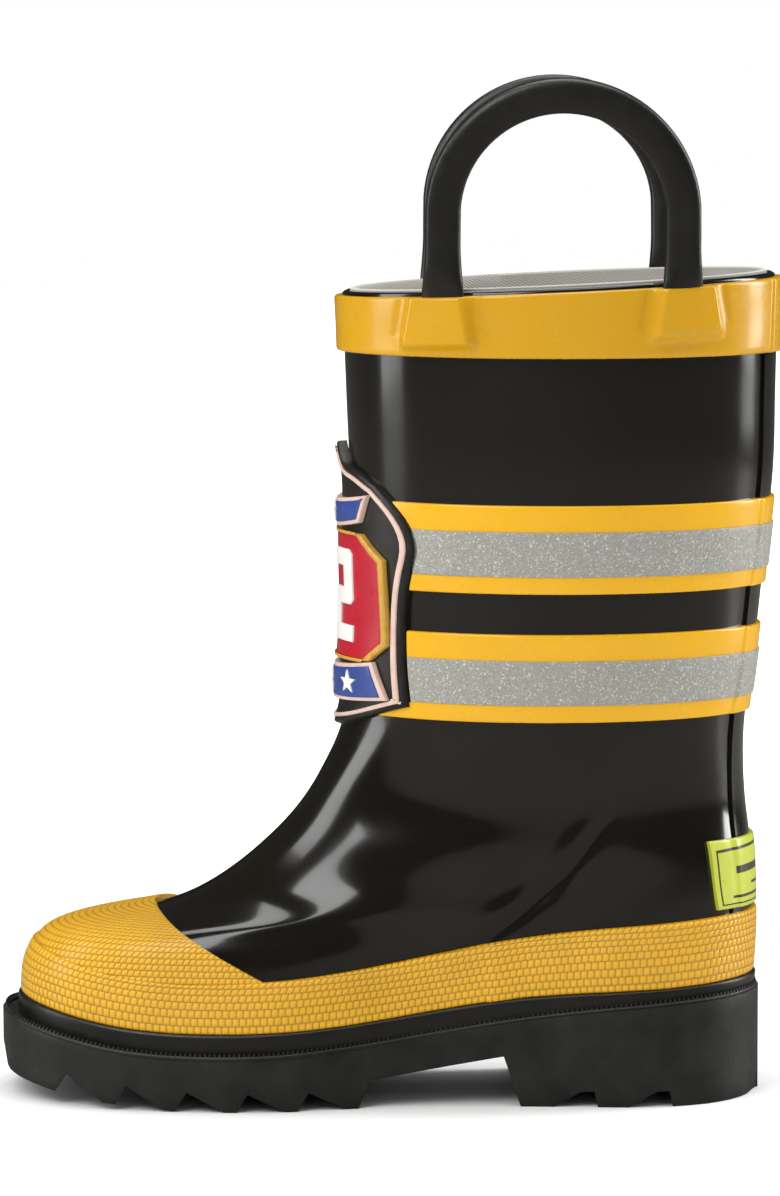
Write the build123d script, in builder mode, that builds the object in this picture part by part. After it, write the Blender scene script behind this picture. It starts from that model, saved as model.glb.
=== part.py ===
"""Child's pull-on rubber fire boot for the left foot, as separate laid-up pieces.

Frame: the toe points along -X, the outer (lateral) side of the foot faces -Y, +Z is up.
The origin is the bottom centre of the whole boot's bounding box. Millimetres.
"""

import os
from dataclasses import dataclass
from functools import lru_cache
from math import cos, hypot, pi, radians, sin, sqrt

from build123d import *

# ---------------------------------------------------------------- driving dimensions
# Outsole
sole_length = 180.0
ball_width = 65.0
waist_width = 49.0
heel_width = 54.0
sole_toe_height = 18.8  # the outsole's top edge above the ground, from the toe to the heel
sole_tread_height = 14.3
sole_ball_height = 12.4
sole_shank_height = 15.0
sole_waist_height = 19.4
sole_seat_height = 23.5
sole_heel_height = 25.0
side_draft = 1.2  # the outsole's wall leans in by this much from its top edge to the ground
toe_spring = 5.5  # how far the toe end of the tread is lifted off the ground
first_tooth = 14.0  # from the toe's tip to the first tooth's edge
tooth_pitch = 14.2
tooth_count = 6
tooth_tip = 2.8
tooth_rise = 2.7  # length of a tooth's steep side
tooth_depth = 4.3
shank_front_height = 6.4  # underside of the arch
shank_back_height = 11.9
heel_block_length = 55.5
heel_breast_slope = 4.0
heel_notch_start = 7.5  # from the heel block's front edge
heel_notch_mouth = 10.5
heel_notch_roof = 2.9
heel_notch_slope = 6.8
heel_notch_depth = 3.7
heel_notch_pitch = 17.6

# Ledges of the outsole outside the foxing
toe_ledge = 4.3
ball_ledge = 3.0
waist_ledge = 1.5
heel_ledge = 2.0

# Foot and leg of the upper
toe_height = 41.5  # black upper over the toes, above the ground
instep_height = 74.0
ankle_height = 90.0
rim_front_height = 190.0
rim_rise = 4.5  # of the rim from its front to its back
collar_overhang = 5.0  # how far the collar's back stands out behind the heel
leg_depth = 102.2  # fore and aft at the rim
leg_width = 76.0
calf_depth = 99.3
calf_width = 71.6
shin_depth = 95.4
shin_width = 66.0
ankle_depth = 93.9
ankle_width = 60.6

# Layers
upper_thickness = 1.8
stiffener_thickness = 0.7
lining_thickness = 1.15
toe_cap_thickness = 1.3
foxing_thickness = 1.8
rand_thickness = 2.4
stay_thickness = 0.6
band_thickness = 1.0
tape_thickness = 0.3
collar_thickness = 1.8
label_thickness = 1.0
cement_gap = 0.05  # left between two bonded layers

# Strips round the foot
rand_height_front = 5.3
rand_height_heel = 3.8
foxing_height_toe = 13.8
foxing_height_ball = 12.0
foxing_height_heel = 15.4
welt_height = 1.3
welt_setback = 0.7  # of the knurled welt from the outsole's edge
cap_gap = 0.15  # between the toe cap and the foxing's top edge
toe_cap_top_reach = 36.5  # how far back the toe cap runs, on top and at the foxing
toe_cap_side_reach = 63.5
back_stay_width = 25.0

# Floor of the boot and hidden stiffeners
midsole_thickness = 2.0
board_thickness = 1.45
insole_thickness = 3.5
insole_clearance = 0.4
counter_height = 30.0
counter_reach = 36.0
puff_height = 16.0
puff_reach = 34.0

# Collar, bands and label
collar_bottom = 176.0
collar_drop = 1.0  # of the collar's top edge below the upper's
band_height = 20.6
tape_height = 10.4
tape_drop = 6.1  # from the band's top edge to the tape's
lower_band_bottom = 91.2
upper_band_bottom = 121.3
edge_gap = 0.4  # between the shield and the bands' cut ends
label_bottom = 45.0
label_height = 16.4
label_half_width = 19.4

# Shield on the front of the leg
shield_bottom = 87.0
shield_corner_rise = 7.0
shield_tip_height = 154.5
shield_shoulder_height = 145.3
shield_bulge_height = 131.0
shield_waist_height = 119.0
shield_bulge_half = 27.3
shield_waist_half = 25.2
shield_corner_half = 24.8
shield_thickness = 1.9
piping_inset = 1.2
piping_width = 1.0
piping_depth = 0.5
plaque_bottom = 101.0
plaque_height = 34.0
plaque_half_width = 22.2
plaque_corner = 7.0
plaque_thickness = 1.2
plaque_rim = 0.9
digit_height = 22.0
digit_width = 11.0
digit_stroke = 4.0
digit_gap = 4.6
numeral_thickness = 0.4
upper_scroll_bottom = 134.6
upper_scroll_height = 7.6
upper_scroll_half = 17.4
lower_scroll_bottom = 93.4
lower_scroll_height = 9.6
lower_scroll_half = 20.4
scroll_lift = 1.8  # how far a scroll's ends sit above its middle
scroll_thickness = 1.4
star_radius = 2.9

# Pull handles
handle_spacing = 55.2  # between the middles of a handle's two legs
handle_width = 8.2
handle_thickness = 5.2
handle_corner = 1.8
handle_reach = 44.0  # top of the handle above its flexing line
handle_lean = 6.0  # degrees, outwards
handle_offset = 35.2  # of the flexing line from the boot's middle
hinge_clearance = 0.35
tab_thickness = 3.4
tab_top_width = 11.6
tab_bottom_width = 15.2
tab_depth = 11.4
tab_cover = 1.2  # thickness of the collar where it swells over a tab
swell_margin = 1.6  # how far that swelling runs past the tab's edges

# ---------------------------------------------------------------- derived places
toe_x = -(sole_length + collar_overhang) / 2
heel_x = toe_x + sole_length
collar_back_x = heel_x + collar_overhang
upper_toe_x = toe_x + toe_ledge + foxing_thickness
upper_heel_x = heel_x - heel_ledge - foxing_thickness
leg_back_x = collar_back_x - collar_thickness
leg_front_x = leg_back_x - leg_depth
leg_centre_x = (leg_front_x + leg_back_x) / 2
upper_half_ball = ball_width / 2 - ball_ledge - foxing_thickness
upper_half_waist = waist_width / 2 - waist_ledge - foxing_thickness
upper_half_heel = heel_width / 2 - heel_ledge - foxing_thickness
ball_x = toe_x + 0.33 * sole_length
waist_x = toe_x + 0.57 * sole_length
seat_x = toe_x + 0.86 * sole_length
rim_slope = rim_rise / leg_depth
through = 2 * leg_width  # long enough to cut right across the boot
margin = 8.0  # what a cutting shape runs past the boot
inside_upper = -upper_thickness - cement_gap
inside_lining = inside_upper - lining_thickness

os.makedirs("parts", exist_ok=True)


def keep(part, label):
    """Labels a finished piece and writes it as one STEP file."""
    part.label = label
    export_step(part, f"parts/{label}.step")


# ---------------------------------------------------------------- the boot's form
def blend_width(x, ball, waist, seat):
    """Half width at x of an outline: wide at the ball, narrow at the waist, wider at the seat."""
    if x <= ball_x:
        return ball
    if x >= seat_x:
        return seat
    start, end, a, b = (ball_x, waist_x, ball, waist) if x < waist_x else (waist_x, seat_x, waist, seat)
    share = (x - start) / (end - start)
    return a + (b - a) * (1 - cos(pi * share)) / 2


def foot_swing(x):
    """Sideways place of a foot outline's middle: out at the ball, in at the toe, as a left foot curves."""
    share = (heel_x - x) / sole_length
    return 22.6 * share**3 - 18.6 * share**2


@dataclass
class Loop:
    """One closed section of the form, on a plane through its front and back points."""

    front: tuple  # x, z
    back: tuple
    widths: tuple  # half widths at the ball, the waist and the seat
    toe_round: float  # length over which each end is rounded
    heel_round: float
    swing: float = 0.0  # share of the foot's sideways curve that this loop follows
    power: float = 2.0  # 2 is an ellipse, more is squarer

    def points(self, grow, normal, count=24):
        """Points round the loop, in its own plane, with the form grown outwards by `grow`."""
        front = (self.front[0] + grow * normal[0], self.front[1] + grow * normal[1])
        back = (self.back[0] + grow, self.back[1])
        length = hypot(back[0] - front[0], back[1] - front[1])
        toe, heel = self.toe_round + grow, self.heel_round + grow
        found = []
        for k in range(count):
            turn = 2 * pi * k / count
            along = length * (1 - cos(turn)) / 2
            x = front[0] + (back[0] - front[0]) * along / length
            wide = blend_width(x, *self.widths) + grow
            if along < toe:
                wide *= max(0.0, 1 - (1 - along / toe) ** self.power) ** (1 / self.power)
            elif length - along < heel:
                wide *= sqrt(max(0.0, 1 - (1 - (length - along) / heel) ** 2))
            side = 0 if k in (0, count // 2) else (-1 if k < count / 2 else 1)
            found.append((along - length / 2, side * wide + self.swing * foot_swing(x)))
        found = found[3 * count // 4 :] + found[: 3 * count // 4]  # start on the inner side
        middle = ((front[0] + back[0]) / 2, (front[1] + back[1]) / 2)
        lean = ((back[0] - front[0]) / length, (back[1] - front[1]) / length)
        plane = Plane(
            origin=(middle[0], 0, middle[1]), x_dir=(lean[0], 0, lean[1]), z_dir=(-lean[1], 0, lean[0])
        )
        return plane, found


def leg_loop(share):
    """Section of the leg, `share` of the way from the ankle to the rim."""
    stations = (
        (0.0, ankle_depth, ankle_width, upper_heel_x - 0.6, -4.0),
        (0.22, shin_depth, shin_width, upper_heel_x + 2.5, 0.0),
        (0.55, calf_depth, calf_width, leg_back_x - 0.9, 2.5),
        (1.0, leg_depth, leg_width, leg_back_x, rim_rise),
        (1.2, leg_depth, leg_width, leg_back_x, 0.0),
    )
    for low, high in zip(stations, stations[1:]):
        if share <= high[0]:
            part = (share - low[0]) / (high[0] - low[0])
            depth, width, back, rise = (a + part * (b - a) for a, b in zip(low[1:], high[1:]))
            break
    z = ankle_height + share * (rim_front_height - ankle_height)
    return Loop((back - depth, z), (back, z + rise), (width / 2,) * 3, depth / 2, depth / 2)


def form_loops():
    """The sections of the black upper's outer face, from under the foot to above the rim."""
    reach = leg_front_x - upper_toe_x

    def foot_loop(share, z, back, widths, rounds=(44.0, 27.0), swing=1.0, power=2.3):
        """A section that starts `share` of the way from the toe to the leg's front, at height z."""
        spread = [half + more for half, more in zip((half_ball, half_waist, half_heel), widths)]
        place = (upper_heel_x + back[0], back[1])
        return Loop((upper_toe_x + share * reach, z), place, spread, *rounds, swing, power)

    crown = toe_height
    rise = instep_height - toe_height
    half_ball, half_waist, half_heel = upper_half_ball, upper_half_waist, upper_half_heel
    loops = [
        foot_loop(0, 4, (0, 4), (0, 0, 0)),
        foot_loop(0, 10, (0, 10), (0, 0, 0)),
        foot_loop(0, 16, (0, 16), (0, 0, 0)),
        foot_loop(0, 22, (0, 22), (0, 0, 0)),
        foot_loop(0.002, crown - 14, (0.7, 27), (0, 0.3, 0.3)),
        foot_loop(0.013, crown - 10, (1.2, 32), (-0.2, 0.6, 0.6)),
        foot_loop(0.045, crown - 5.7, (1.5, 37), (-0.7, 0.9, 0.7)),
        foot_loop(0.11, crown - 2.6, (1.6, 41), (-1.9, 1.3, 0.8), swing=0.95),
        foot_loop(0.245, crown, (1.6, 45), (-2.9, 1.7, 0.8), (45, 27), 0.9, 2.2),
        foot_loop(0.42, crown + 0.085 * rise, (1.6, 49), (-3.7, 2.1, 0.9), (50, 28), 0.8, 2.1),
        foot_loop(0.61, crown + 0.29 * rise, (1.4, 54), (-3.7, 2.7, 1.2), (56, 30), 0.6, 2),
        foot_loop(0.79, crown + 0.62 * rise, (0.9, 61), (-2.3, 4.5, 2.1), (58, 36), 0.35, 2),
        foot_loop(0.92, instep_height, (-0.3, 71), (-0.4, 5, 3), (54, 44), 0.12, 2),
    ]
    shares = (0.0, 0.11, 0.22, 0.34, 0.46, 0.58, 0.7, 0.82, 0.92, 1.0, 1.1, 1.2)
    return loops + [leg_loop(share) for share in shares]


def closed_curve(points):
    """Closed spline with equal parameter steps, so that all the sections of a loft share their knots."""
    steps = [k / len(points) for k in range(len(points) + 1)]
    return Edge.make_spline(points, periodic=True, parameters=steps)


@lru_cache(maxsize=None)
def form(grow):
    """Closed solid inside the upper's outer face, grown outwards by `grow` (negative is inwards)."""
    loops = form_loops()
    with BuildPart() as solid:
        for k, loop in enumerate(loops):
            before, after = loops[max(k - 1, 0)].front, loops[min(k + 1, len(loops) - 1)].front
            run = hypot(after[0] - before[0], after[1] - before[1])
            normal = (-(after[1] - before[1]) / run, (after[0] - before[0]) / run)
            plane, points = loop.points(grow, normal)
            with BuildSketch(plane):
                with BuildLine():
                    add(closed_curve(points))
                make_face()
        loft()
    return solid.part


@lru_cache(maxsize=None)
def layer(inner, outer):
    """The material between the form grown by `inner` and the form grown by `outer`, open at both ends."""
    skins = [form(grow).faces().sort_by(Axis.Z) for grow in (inner, outer)]
    walls = [face for skin in skins for face in skin[1:-1]]
    rings = [
        Face(skins[1][end].outer_wire(), [skins[0][end].outer_wire()]) for end in (0, -1)
    ]
    return Solid(Shell(walls + rings))


# ---------------------------------------------------------------- cutting shapes
def side_block(lower, upper, side=0):
    """Block seen from the side between two lines of (x, z) points; side -1 or +1 keeps one half of it."""
    with BuildPart() as block:
        with BuildSketch(Plane.XZ):
            with BuildLine():
                low = Spline(*lower) if len(lower) > 2 else Line(*lower)
                high = Spline(*upper) if len(upper) > 2 else Line(*upper)
                Line(low @ 0, high @ 0)
                Line(low @ 1, high @ 1)
            make_face()
        if side:
            extrude(amount=-side * through)
        else:
            extrude(amount=through, both=True)
    return block.part


def side_plate(outline, side=0):
    """Plate with a straight-edged (x, z) outline seen from the side."""
    with BuildPart() as plate:
        with BuildSketch(Plane.XZ):
            Polygon(*outline, align=None)
        if side:
            extrude(amount=-side * through)
        else:
            extrude(amount=through, both=True)
    return plate.part


def end_plate(outline, x_from, x_to, spacing=0.0):
    """Plate with a straight-edged (y, z) outline seen from the front, between two places along X."""
    with BuildPart() as plate:
        with BuildSketch(Plane.YZ.offset(x_from)):
            Polygon(*outline, align=None)
            if spacing:
                offset(amount=spacing)
        extrude(amount=x_to - x_from)
    return plate.part


def front_relief(sketch):
    """A flat (y, z) sketch carried through the front wall of the leg."""
    return extrude(Plane.YZ.offset(leg_front_x - 20) * sketch, amount=20 + leg_depth / 3)


def mirrored(half):
    """A closed outline from its half on the +Y side."""
    return list(half) + [(-y, z) for y, z in reversed(half) if y > 0]


def rim_z(x, drop=0.0):
    """Height of the upper's rim at x, less a drop."""
    return rim_front_height + rim_slope * (x - leg_front_x) - drop


def rim_line(drop):
    """The rim's line seen from the side, lowered by a drop, running past the boot both ways."""
    return [(x, rim_z(x, drop)) for x in (leg_front_x - margin, leg_back_x + margin)]


def level_line(z):
    """A level line seen from the side, running past the boot both ways."""
    return [(toe_x - margin, z), (heel_x + margin, z)]


# Lines along the foot, seen from the side: x, outsole's top edge, rand's height, foxing's height
foot_rows = (
    (toe_x - margin, sole_toe_height + 1.5, rand_height_front, foxing_height_toe + 1.2),
    (toe_x + 1, sole_toe_height, rand_height_front, foxing_height_toe),
    (toe_x + 23.5, sole_tread_height, rand_height_front, foxing_height_ball),
    (toe_x + 56.5, sole_ball_height, rand_height_front, foxing_height_ball),
    (toe_x + 90.5, sole_shank_height, rand_height_front, foxing_height_ball + 1),
    (toe_x + 117.5, sole_waist_height, rand_height_front, foxing_height_ball + 2),
    (toe_x + 152.5, sole_seat_height, rand_height_heel, foxing_height_heel),
    (heel_x, sole_heel_height, rand_height_heel, foxing_height_heel),
    (heel_x + margin, sole_heel_height + 0.2, rand_height_heel, foxing_height_heel),
)


def foot_line(lift=0.0, rand=0, foxing=0):
    """A line that follows the outsole's top edge, above it by a lift and by whole strips."""
    return [(x, sole + lift + rand * low + foxing * high) for x, sole, low, high in foot_rows]


sole_top = foot_line(cement_gap)
rand_top = foot_line(rand=1)
foxing_top = foot_line(rand=1, foxing=1)
above_all = level_line(rim_front_height + rim_rise + 3)

# ---------------------------------------------------------------- outsole
tread = [(toe_x - margin, toe_spring + 6), (toe_x, toe_spring + 6), (toe_x + 1.4, toe_spring)]
for tooth in range(tooth_count):
    reach = first_tooth + tooth * tooth_pitch
    lift = toe_spring * max(0.0, 1 - reach / (sole_length * 0.3)) ** 1.8
    edge = toe_x + reach
    if tooth:
        tread.append((edge - tooth_tip, lift + 0.1))
    tread.append((edge, lift))
    if tooth < tooth_count - 1:
        tread.append((edge + tooth_rise, lift + tooth_depth))
tread.append((toe_x + first_tooth + (tooth_count - 1) * tooth_pitch + tooth_rise, shank_front_height))
heel_front = heel_x - 1.5 - heel_block_length
tread.append((heel_front - heel_breast_slope, shank_back_height))
tread.append((heel_front, 0))
for notch in range(2):
    mouth = heel_front + heel_notch_start + notch * heel_notch_pitch
    tread.append((mouth, 0))
    tread.append((mouth + heel_notch_slope, heel_notch_depth))
    tread.append((mouth + heel_notch_slope + heel_notch_roof, heel_notch_depth))
    tread.append((mouth + heel_notch_mouth, 0))
tread += [(heel_x - 1.5, 0), (heel_x + margin, 0)]


def sole_outline(z, inset):
    """The outsole's outline at height z, drawn in by an inset."""
    loop = Loop(
        (toe_x, z), (heel_x, z), (ball_width / 2, waist_width / 2, heel_width / 2), 46, 28, 1, 2.4
    )
    return loop.points(-inset, (-1, 0))


with BuildPart() as sole_blank:
    for height, inset in ((0, side_draft), (sole_heel_height * 1.5, -side_draft / 2)):
        plane, points = sole_outline(height, inset)
        with BuildSketch(plane):
            with BuildLine():
                add(closed_curve(points))
            make_face()
    loft()

with BuildPart() as outsole:
    add(sole_blank.part)
    with BuildSketch(Plane.XZ):
        with BuildLine():
            edge = Spline(*foot_line())
            Polyline(edge @ 0, *tread, edge @ 1)
        make_face()
    extrude(amount=through, both=True, mode=Mode.INTERSECT)
keep(outsole.part, "outsole")

# ---------------------------------------------------------------- welt, rand and foxing
welt_zone = side_block(sole_top, foot_line(welt_height))
with BuildPart() as welt_strip:
    for height in (0, sole_heel_height + margin):
        plane, points = sole_outline(height, welt_setback)
        with BuildSketch(plane):
            with BuildLine():
                add(closed_curve(points))
            make_face()
    loft()
    add(form(rand_thickness + cement_gap), mode=Mode.SUBTRACT)
    add(welt_zone, mode=Mode.INTERSECT)
keep(welt_strip.part, "welt_strip")

rand_zone = side_block(sole_top, rand_top)
with BuildPart() as rand_strip:
    add(layer(cement_gap, rand_thickness))
    add(rand_zone, mode=Mode.INTERSECT)
keep(rand_strip.part, "rand_strip")

foxing_zone = side_block(foot_line(cement_gap, rand=1), foxing_top)
with BuildPart() as foxing_strip:
    add(layer(cement_gap, foxing_thickness))
    add(foxing_zone, mode=Mode.INTERSECT)
keep(foxing_strip.part, "foxing_strip")

cap_zone = side_block(foot_line(cap_gap, rand=1, foxing=1), above_all)
cap_edge = side_plate(
    (
        (toe_x - margin, toe_height + 40),
        (toe_x + toe_cap_top_reach, toe_height + 40),
        (toe_x + toe_cap_top_reach, toe_height + 3),
        (toe_x + toe_cap_side_reach, sole_ball_height + rand_height_front + foxing_height_ball),
        (toe_x + toe_cap_side_reach, 0),
        (toe_x - margin, 0),
    )
)
with BuildPart() as toe_cap:
    add(layer(cement_gap, toe_cap_thickness))
    add(cap_zone, mode=Mode.INTERSECT)
    add(cap_edge, mode=Mode.INTERSECT)
keep(toe_cap.part, "toe_cap")

# ---------------------------------------------------------------- floor of the boot
floor_top = midsole_thickness + board_thickness + 2 * cement_gap
midsole_zone = side_block(sole_top, foot_line(midsole_thickness))
with BuildPart() as sponge_midsole:
    add(form(inside_upper))
    add(midsole_zone, mode=Mode.INTERSECT)
keep(sponge_midsole.part, "sponge_midsole")

board_zone = side_block(foot_line(midsole_thickness + cement_gap), foot_line(floor_top - cement_gap))
with BuildPart() as insole_board:
    add(form(inside_upper))
    add(board_zone, mode=Mode.INTERSECT)
keep(insole_board.part, "insole_board")

insole_zone = side_block(foot_line(floor_top), foot_line(floor_top + insole_thickness))
with BuildPart() as insole:
    add(form(inside_lining - insole_clearance))
    add(insole_zone, mode=Mode.INTERSECT)
keep(insole.part, "insole")

# ---------------------------------------------------------------- upper, stiffeners and lining
def stiffener_box(front, back, top, spare=0.0):
    """Block that takes in one end of the foot, up to a height; `spare` widens it for its seat."""
    outline = ((-through, 0), (through, 0), (through, top + spare), (-through, top + spare))
    return end_plate(outline, front - spare, back + spare)


heel_box = (heel_x - counter_reach, heel_x + margin, sole_seat_height + counter_height)
toe_box = (toe_x - margin, toe_x + puff_reach, sole_ball_height + puff_height)
stiffener_rise = side_block(foot_line(floor_top + 1), above_all)
stiffener_seat_rise = side_block(foot_line(floor_top + 1 - cement_gap), above_all)
stiffener_seats = []
for label, box in (("heel_counter", heel_box), ("toe_puff", toe_box)):
    zone = stiffener_box(*box)
    with BuildPart() as stiffener:
        add(layer(-upper_thickness, stiffener_thickness - upper_thickness))
        add(zone, mode=Mode.INTERSECT)
        add(stiffener_rise, mode=Mode.INTERSECT)
    keep(stiffener.part, label)
    zone = stiffener_box(*box, spare=cement_gap)
    with BuildPart() as seat:
        add(form(stiffener_thickness - upper_thickness + cement_gap))
        add(zone, mode=Mode.INTERSECT)
        add(stiffener_seat_rise, mode=Mode.INTERSECT)
    stiffener_seats.append(seat.part)

upper_zone = side_block(sole_top, rim_line(0))
with BuildPart() as upper:
    add(layer(-upper_thickness, 0))
    add(upper_zone, mode=Mode.INTERSECT)
    for seat in stiffener_seats:
        add(seat, mode=Mode.SUBTRACT)

half_space = (
    (toe_x - margin, 0),
    (heel_x + 2 * margin, 0),
    (heel_x + 2 * margin, 210),
    (toe_x - margin, 210),
)
for label, side in (("lateral_upper", -1), ("medial_upper", 1)):
    half = side_plate(half_space, side)
    with BuildPart() as upper_half:
        add(upper.part)
        add(half, mode=Mode.INTERSECT)
    keep(upper_half.part, label)

lining_zone = side_block(foot_line(floor_top), rim_line(0))
with BuildPart() as lining:
    add(layer(inside_lining, inside_upper))
    add(lining_zone, mode=Mode.INTERSECT)
keep(lining.part, "lining")

# ---------------------------------------------------------------- back stay and heel label
def rear_plate(half_width, z_from, z_to):
    """Plate seen from behind, through the back wall only."""
    outline = ((-half_width, z_from), (half_width, z_from), (half_width, z_to), (-half_width, z_to))
    return end_plate(outline, leg_centre_x + 15, collar_back_x + margin)


stay_outline = rear_plate(back_stay_width / 2, 0, collar_bottom - cement_gap)
stay_zone = side_block(foot_line(cement_gap, rand=1, foxing=1), above_all)
with BuildPart() as back_stay:
    add(layer(cement_gap, stay_thickness))
    add(stay_outline, mode=Mode.INTERSECT)
    add(stay_zone, mode=Mode.INTERSECT)
keep(back_stay.part, "back_stay")

stay_seat_outline = rear_plate(back_stay_width / 2 + cement_gap, 0, collar_bottom)
with BuildPart() as stay_seat:
    add(form(stay_thickness + cement_gap))
    add(stay_seat_outline, mode=Mode.INTERSECT)

label_outline = rear_plate(label_half_width, label_bottom, label_bottom + label_height)
with BuildPart() as heel_label:
    add(layer(cement_gap, stay_thickness + label_thickness))
    add(label_outline, mode=Mode.INTERSECT)
    add(stay_seat.part, mode=Mode.SUBTRACT)
keep(heel_label.part, "heel_label")

# ---------------------------------------------------------------- shield
shield_half = (
    (0, shield_bottom),
    (shield_corner_half * 0.5, shield_bottom + shield_corner_rise * 0.3),
    (shield_corner_half, shield_bottom + shield_corner_rise),
    (shield_waist_half, shield_waist_height),
    (shield_bulge_half - 0.9, shield_bulge_height - 5),
    (shield_bulge_half, shield_bulge_height),
    (shield_bulge_half - 0.4, shield_bulge_height + 4),
    (shield_bulge_half - 3.6, shield_shoulder_height - 4),
    (shield_bulge_half * 0.72, shield_shoulder_height),
    (shield_bulge_half * 0.45, shield_shoulder_height + 3),
    (shield_bulge_half * 0.2, shield_shoulder_height + 4.7),
    (2.2, shield_tip_height - 2),
    (0, shield_tip_height),
)
shield_outline = mirrored(shield_half)
shield_flat = Polygon(*shield_outline, align=None)
shield_zone = front_relief(shield_flat)
with BuildPart() as shield_plate:
    add(layer(cement_gap, shield_thickness))
    add(shield_zone, mode=Mode.INTERSECT)
keep(shield_plate.part, "shield_plate")

shield_face = shield_thickness + cement_gap
with BuildSketch() as piping_sketch:
    add(shield_flat)
    offset(amount=-piping_inset, mode=Mode.REPLACE)
    offset(amount=-piping_width, mode=Mode.SUBTRACT)
piping_zone = front_relief(piping_sketch.sketch)
with BuildPart() as shield_piping:
    add(layer(shield_face, shield_face + piping_depth))
    add(piping_zone, mode=Mode.INTERSECT)
keep(shield_piping.part, "shield_piping")

plaque_middle = plaque_bottom + plaque_height / 2
with BuildSketch() as plaque_sketch:
    with Locations((0, plaque_middle)):
        Rectangle(2 * plaque_half_width, plaque_height)
    chamfer(plaque_sketch.vertices(), plaque_corner)
with BuildSketch() as plaque_panel_sketch:
    add(plaque_sketch.sketch)
    offset(amount=-plaque_rim - cement_gap, mode=Mode.REPLACE)
with BuildSketch() as plaque_frame_sketch:
    add(plaque_sketch.sketch)
    offset(amount=-plaque_rim, mode=Mode.SUBTRACT)
with BuildSketch() as scroll_stripe:
    for bottom, height in (
        (upper_scroll_bottom, upper_scroll_height),
        (lower_scroll_bottom, lower_scroll_height),
    ):
        with Locations((0, bottom + height / 2 + cement_gap)):
            Rectangle(through, height + scroll_lift + 4 * cement_gap)
for label, sketch, height in (
    ("plaque", plaque_panel_sketch.sketch, plaque_thickness),
    ("plaque_frame", plaque_frame_sketch.sketch, plaque_thickness + 0.2),
):
    zone = front_relief(sketch - scroll_stripe.sketch)
    with BuildPart() as plaque_piece:
        add(layer(shield_face, shield_face + height))
        add(zone, mode=Mode.INTERSECT)
    keep(plaque_piece.part, label)

numeral_middle = (upper_scroll_bottom + lower_scroll_bottom + lower_scroll_height) / 2
low, high = numeral_middle - digit_height / 2, numeral_middle + digit_height / 2
one = (digit_gap + digit_width) / 2
with BuildSketch() as numeral_sketch:
    with Locations((one - digit_stroke / 4, numeral_middle)):
        Rectangle(digit_stroke, digit_height)
    Polygon((one, high), (one + 6, high - 5), (one + 6, high - 9), (one, high - 5), align=None)
    for bar in (high - digit_stroke / 2, numeral_middle, low + digit_stroke / 2):
        with Locations((-one, bar)):
            Rectangle(digit_width, digit_stroke)
    stem = (digit_width - digit_stroke) / 2
    with Locations((-one - stem, numeral_middle + digit_height / 4)):
        Rectangle(digit_stroke, digit_height / 2)
    with Locations((-one + stem, numeral_middle - digit_height / 4)):
        Rectangle(digit_stroke, digit_height / 2)
numeral_zone = front_relief(numeral_sketch.sketch)
plaque_face = shield_face + plaque_thickness + cement_gap
with BuildPart() as numeral:
    add(layer(plaque_face, plaque_face + numeral_thickness))
    add(numeral_zone, mode=Mode.INTERSECT)
keep(numeral.part, "numeral")

star_sketches = []
for label, bottom, height, half, flare, stars in (
    ("upper_scroll", upper_scroll_bottom, upper_scroll_height, upper_scroll_half, 1.4, (0,)),
    ("lower_scroll", lower_scroll_bottom, lower_scroll_height, lower_scroll_half, -1.4, (-1, 0, 1)),
):
    with BuildSketch() as scroll_sketch:
        with BuildLine():
            under = ThreePointArc(
                (-half + flare, bottom + scroll_lift),
                (0, bottom),
                (half - flare, bottom + scroll_lift),
            )
            over = ThreePointArc(
                (-half - flare, bottom + height + scroll_lift / 2),
                (0, bottom + height - scroll_lift / 2),
                (half + flare, bottom + height + scroll_lift / 2),
            )
            Line(under @ 0, over @ 0)
            Line(under @ 1, over @ 1)
        make_face()
    zone = front_relief(scroll_sketch.sketch)
    with BuildPart() as scroll:
        add(layer(shield_face, shield_face + scroll_thickness))
        add(zone, mode=Mode.INTERSECT)
    keep(scroll.part, label)
    for place in stars:
        points = []
        for corner in range(10):
            radius = star_radius * (0.42 if corner % 2 else 1)
            turn = radians(90 + 36 * corner)
            lift = scroll_lift * (place * half * 0.6 / half) ** 2
            middle = bottom + height / 2 + lift
            points.append((place * half * 0.6 + radius * cos(turn), middle + radius * sin(turn)))
        star_sketches.append(Polygon(*points, align=None))

star_zones = [front_relief(star) for star in star_sketches]
star_face = shield_face + scroll_thickness + cement_gap
with BuildPart() as scroll_stars:
    for zone in star_zones:
        add(zone)
    add(layer(star_face, star_face + numeral_thickness), mode=Mode.INTERSECT)
keep(scroll_stars.part, "scroll_stars")

# ---------------------------------------------------------------- bands and reflective tapes
with BuildSketch() as shield_gap_sketch:
    add(shield_flat)
    offset(amount=edge_gap, mode=Mode.REPLACE)
shield_gap = front_relief(shield_gap_sketch.sketch)
tape_inner = band_thickness + cement_gap
for name, bottom in (("lower", lower_band_bottom), ("upper", upper_band_bottom)):
    zone = side_block(level_line(bottom), level_line(bottom + band_height))
    with BuildPart() as band:
        add(layer(cement_gap, band_thickness))
        add(zone, mode=Mode.INTERSECT)
        add(shield_gap, mode=Mode.SUBTRACT)
        add(stay_seat.part, mode=Mode.SUBTRACT)
    keep(band.part, f"{name}_band")
    tape_top = bottom + band_height - tape_drop
    zone = side_block(level_line(tape_top - tape_height), level_line(tape_top))
    with BuildPart() as tape:
        add(layer(tape_inner, tape_inner + tape_thickness))
        add(zone, mode=Mode.INTERSECT)
        add(shield_gap, mode=Mode.SUBTRACT)
    keep(tape.part, f"{name}_reflective_tape")

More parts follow.
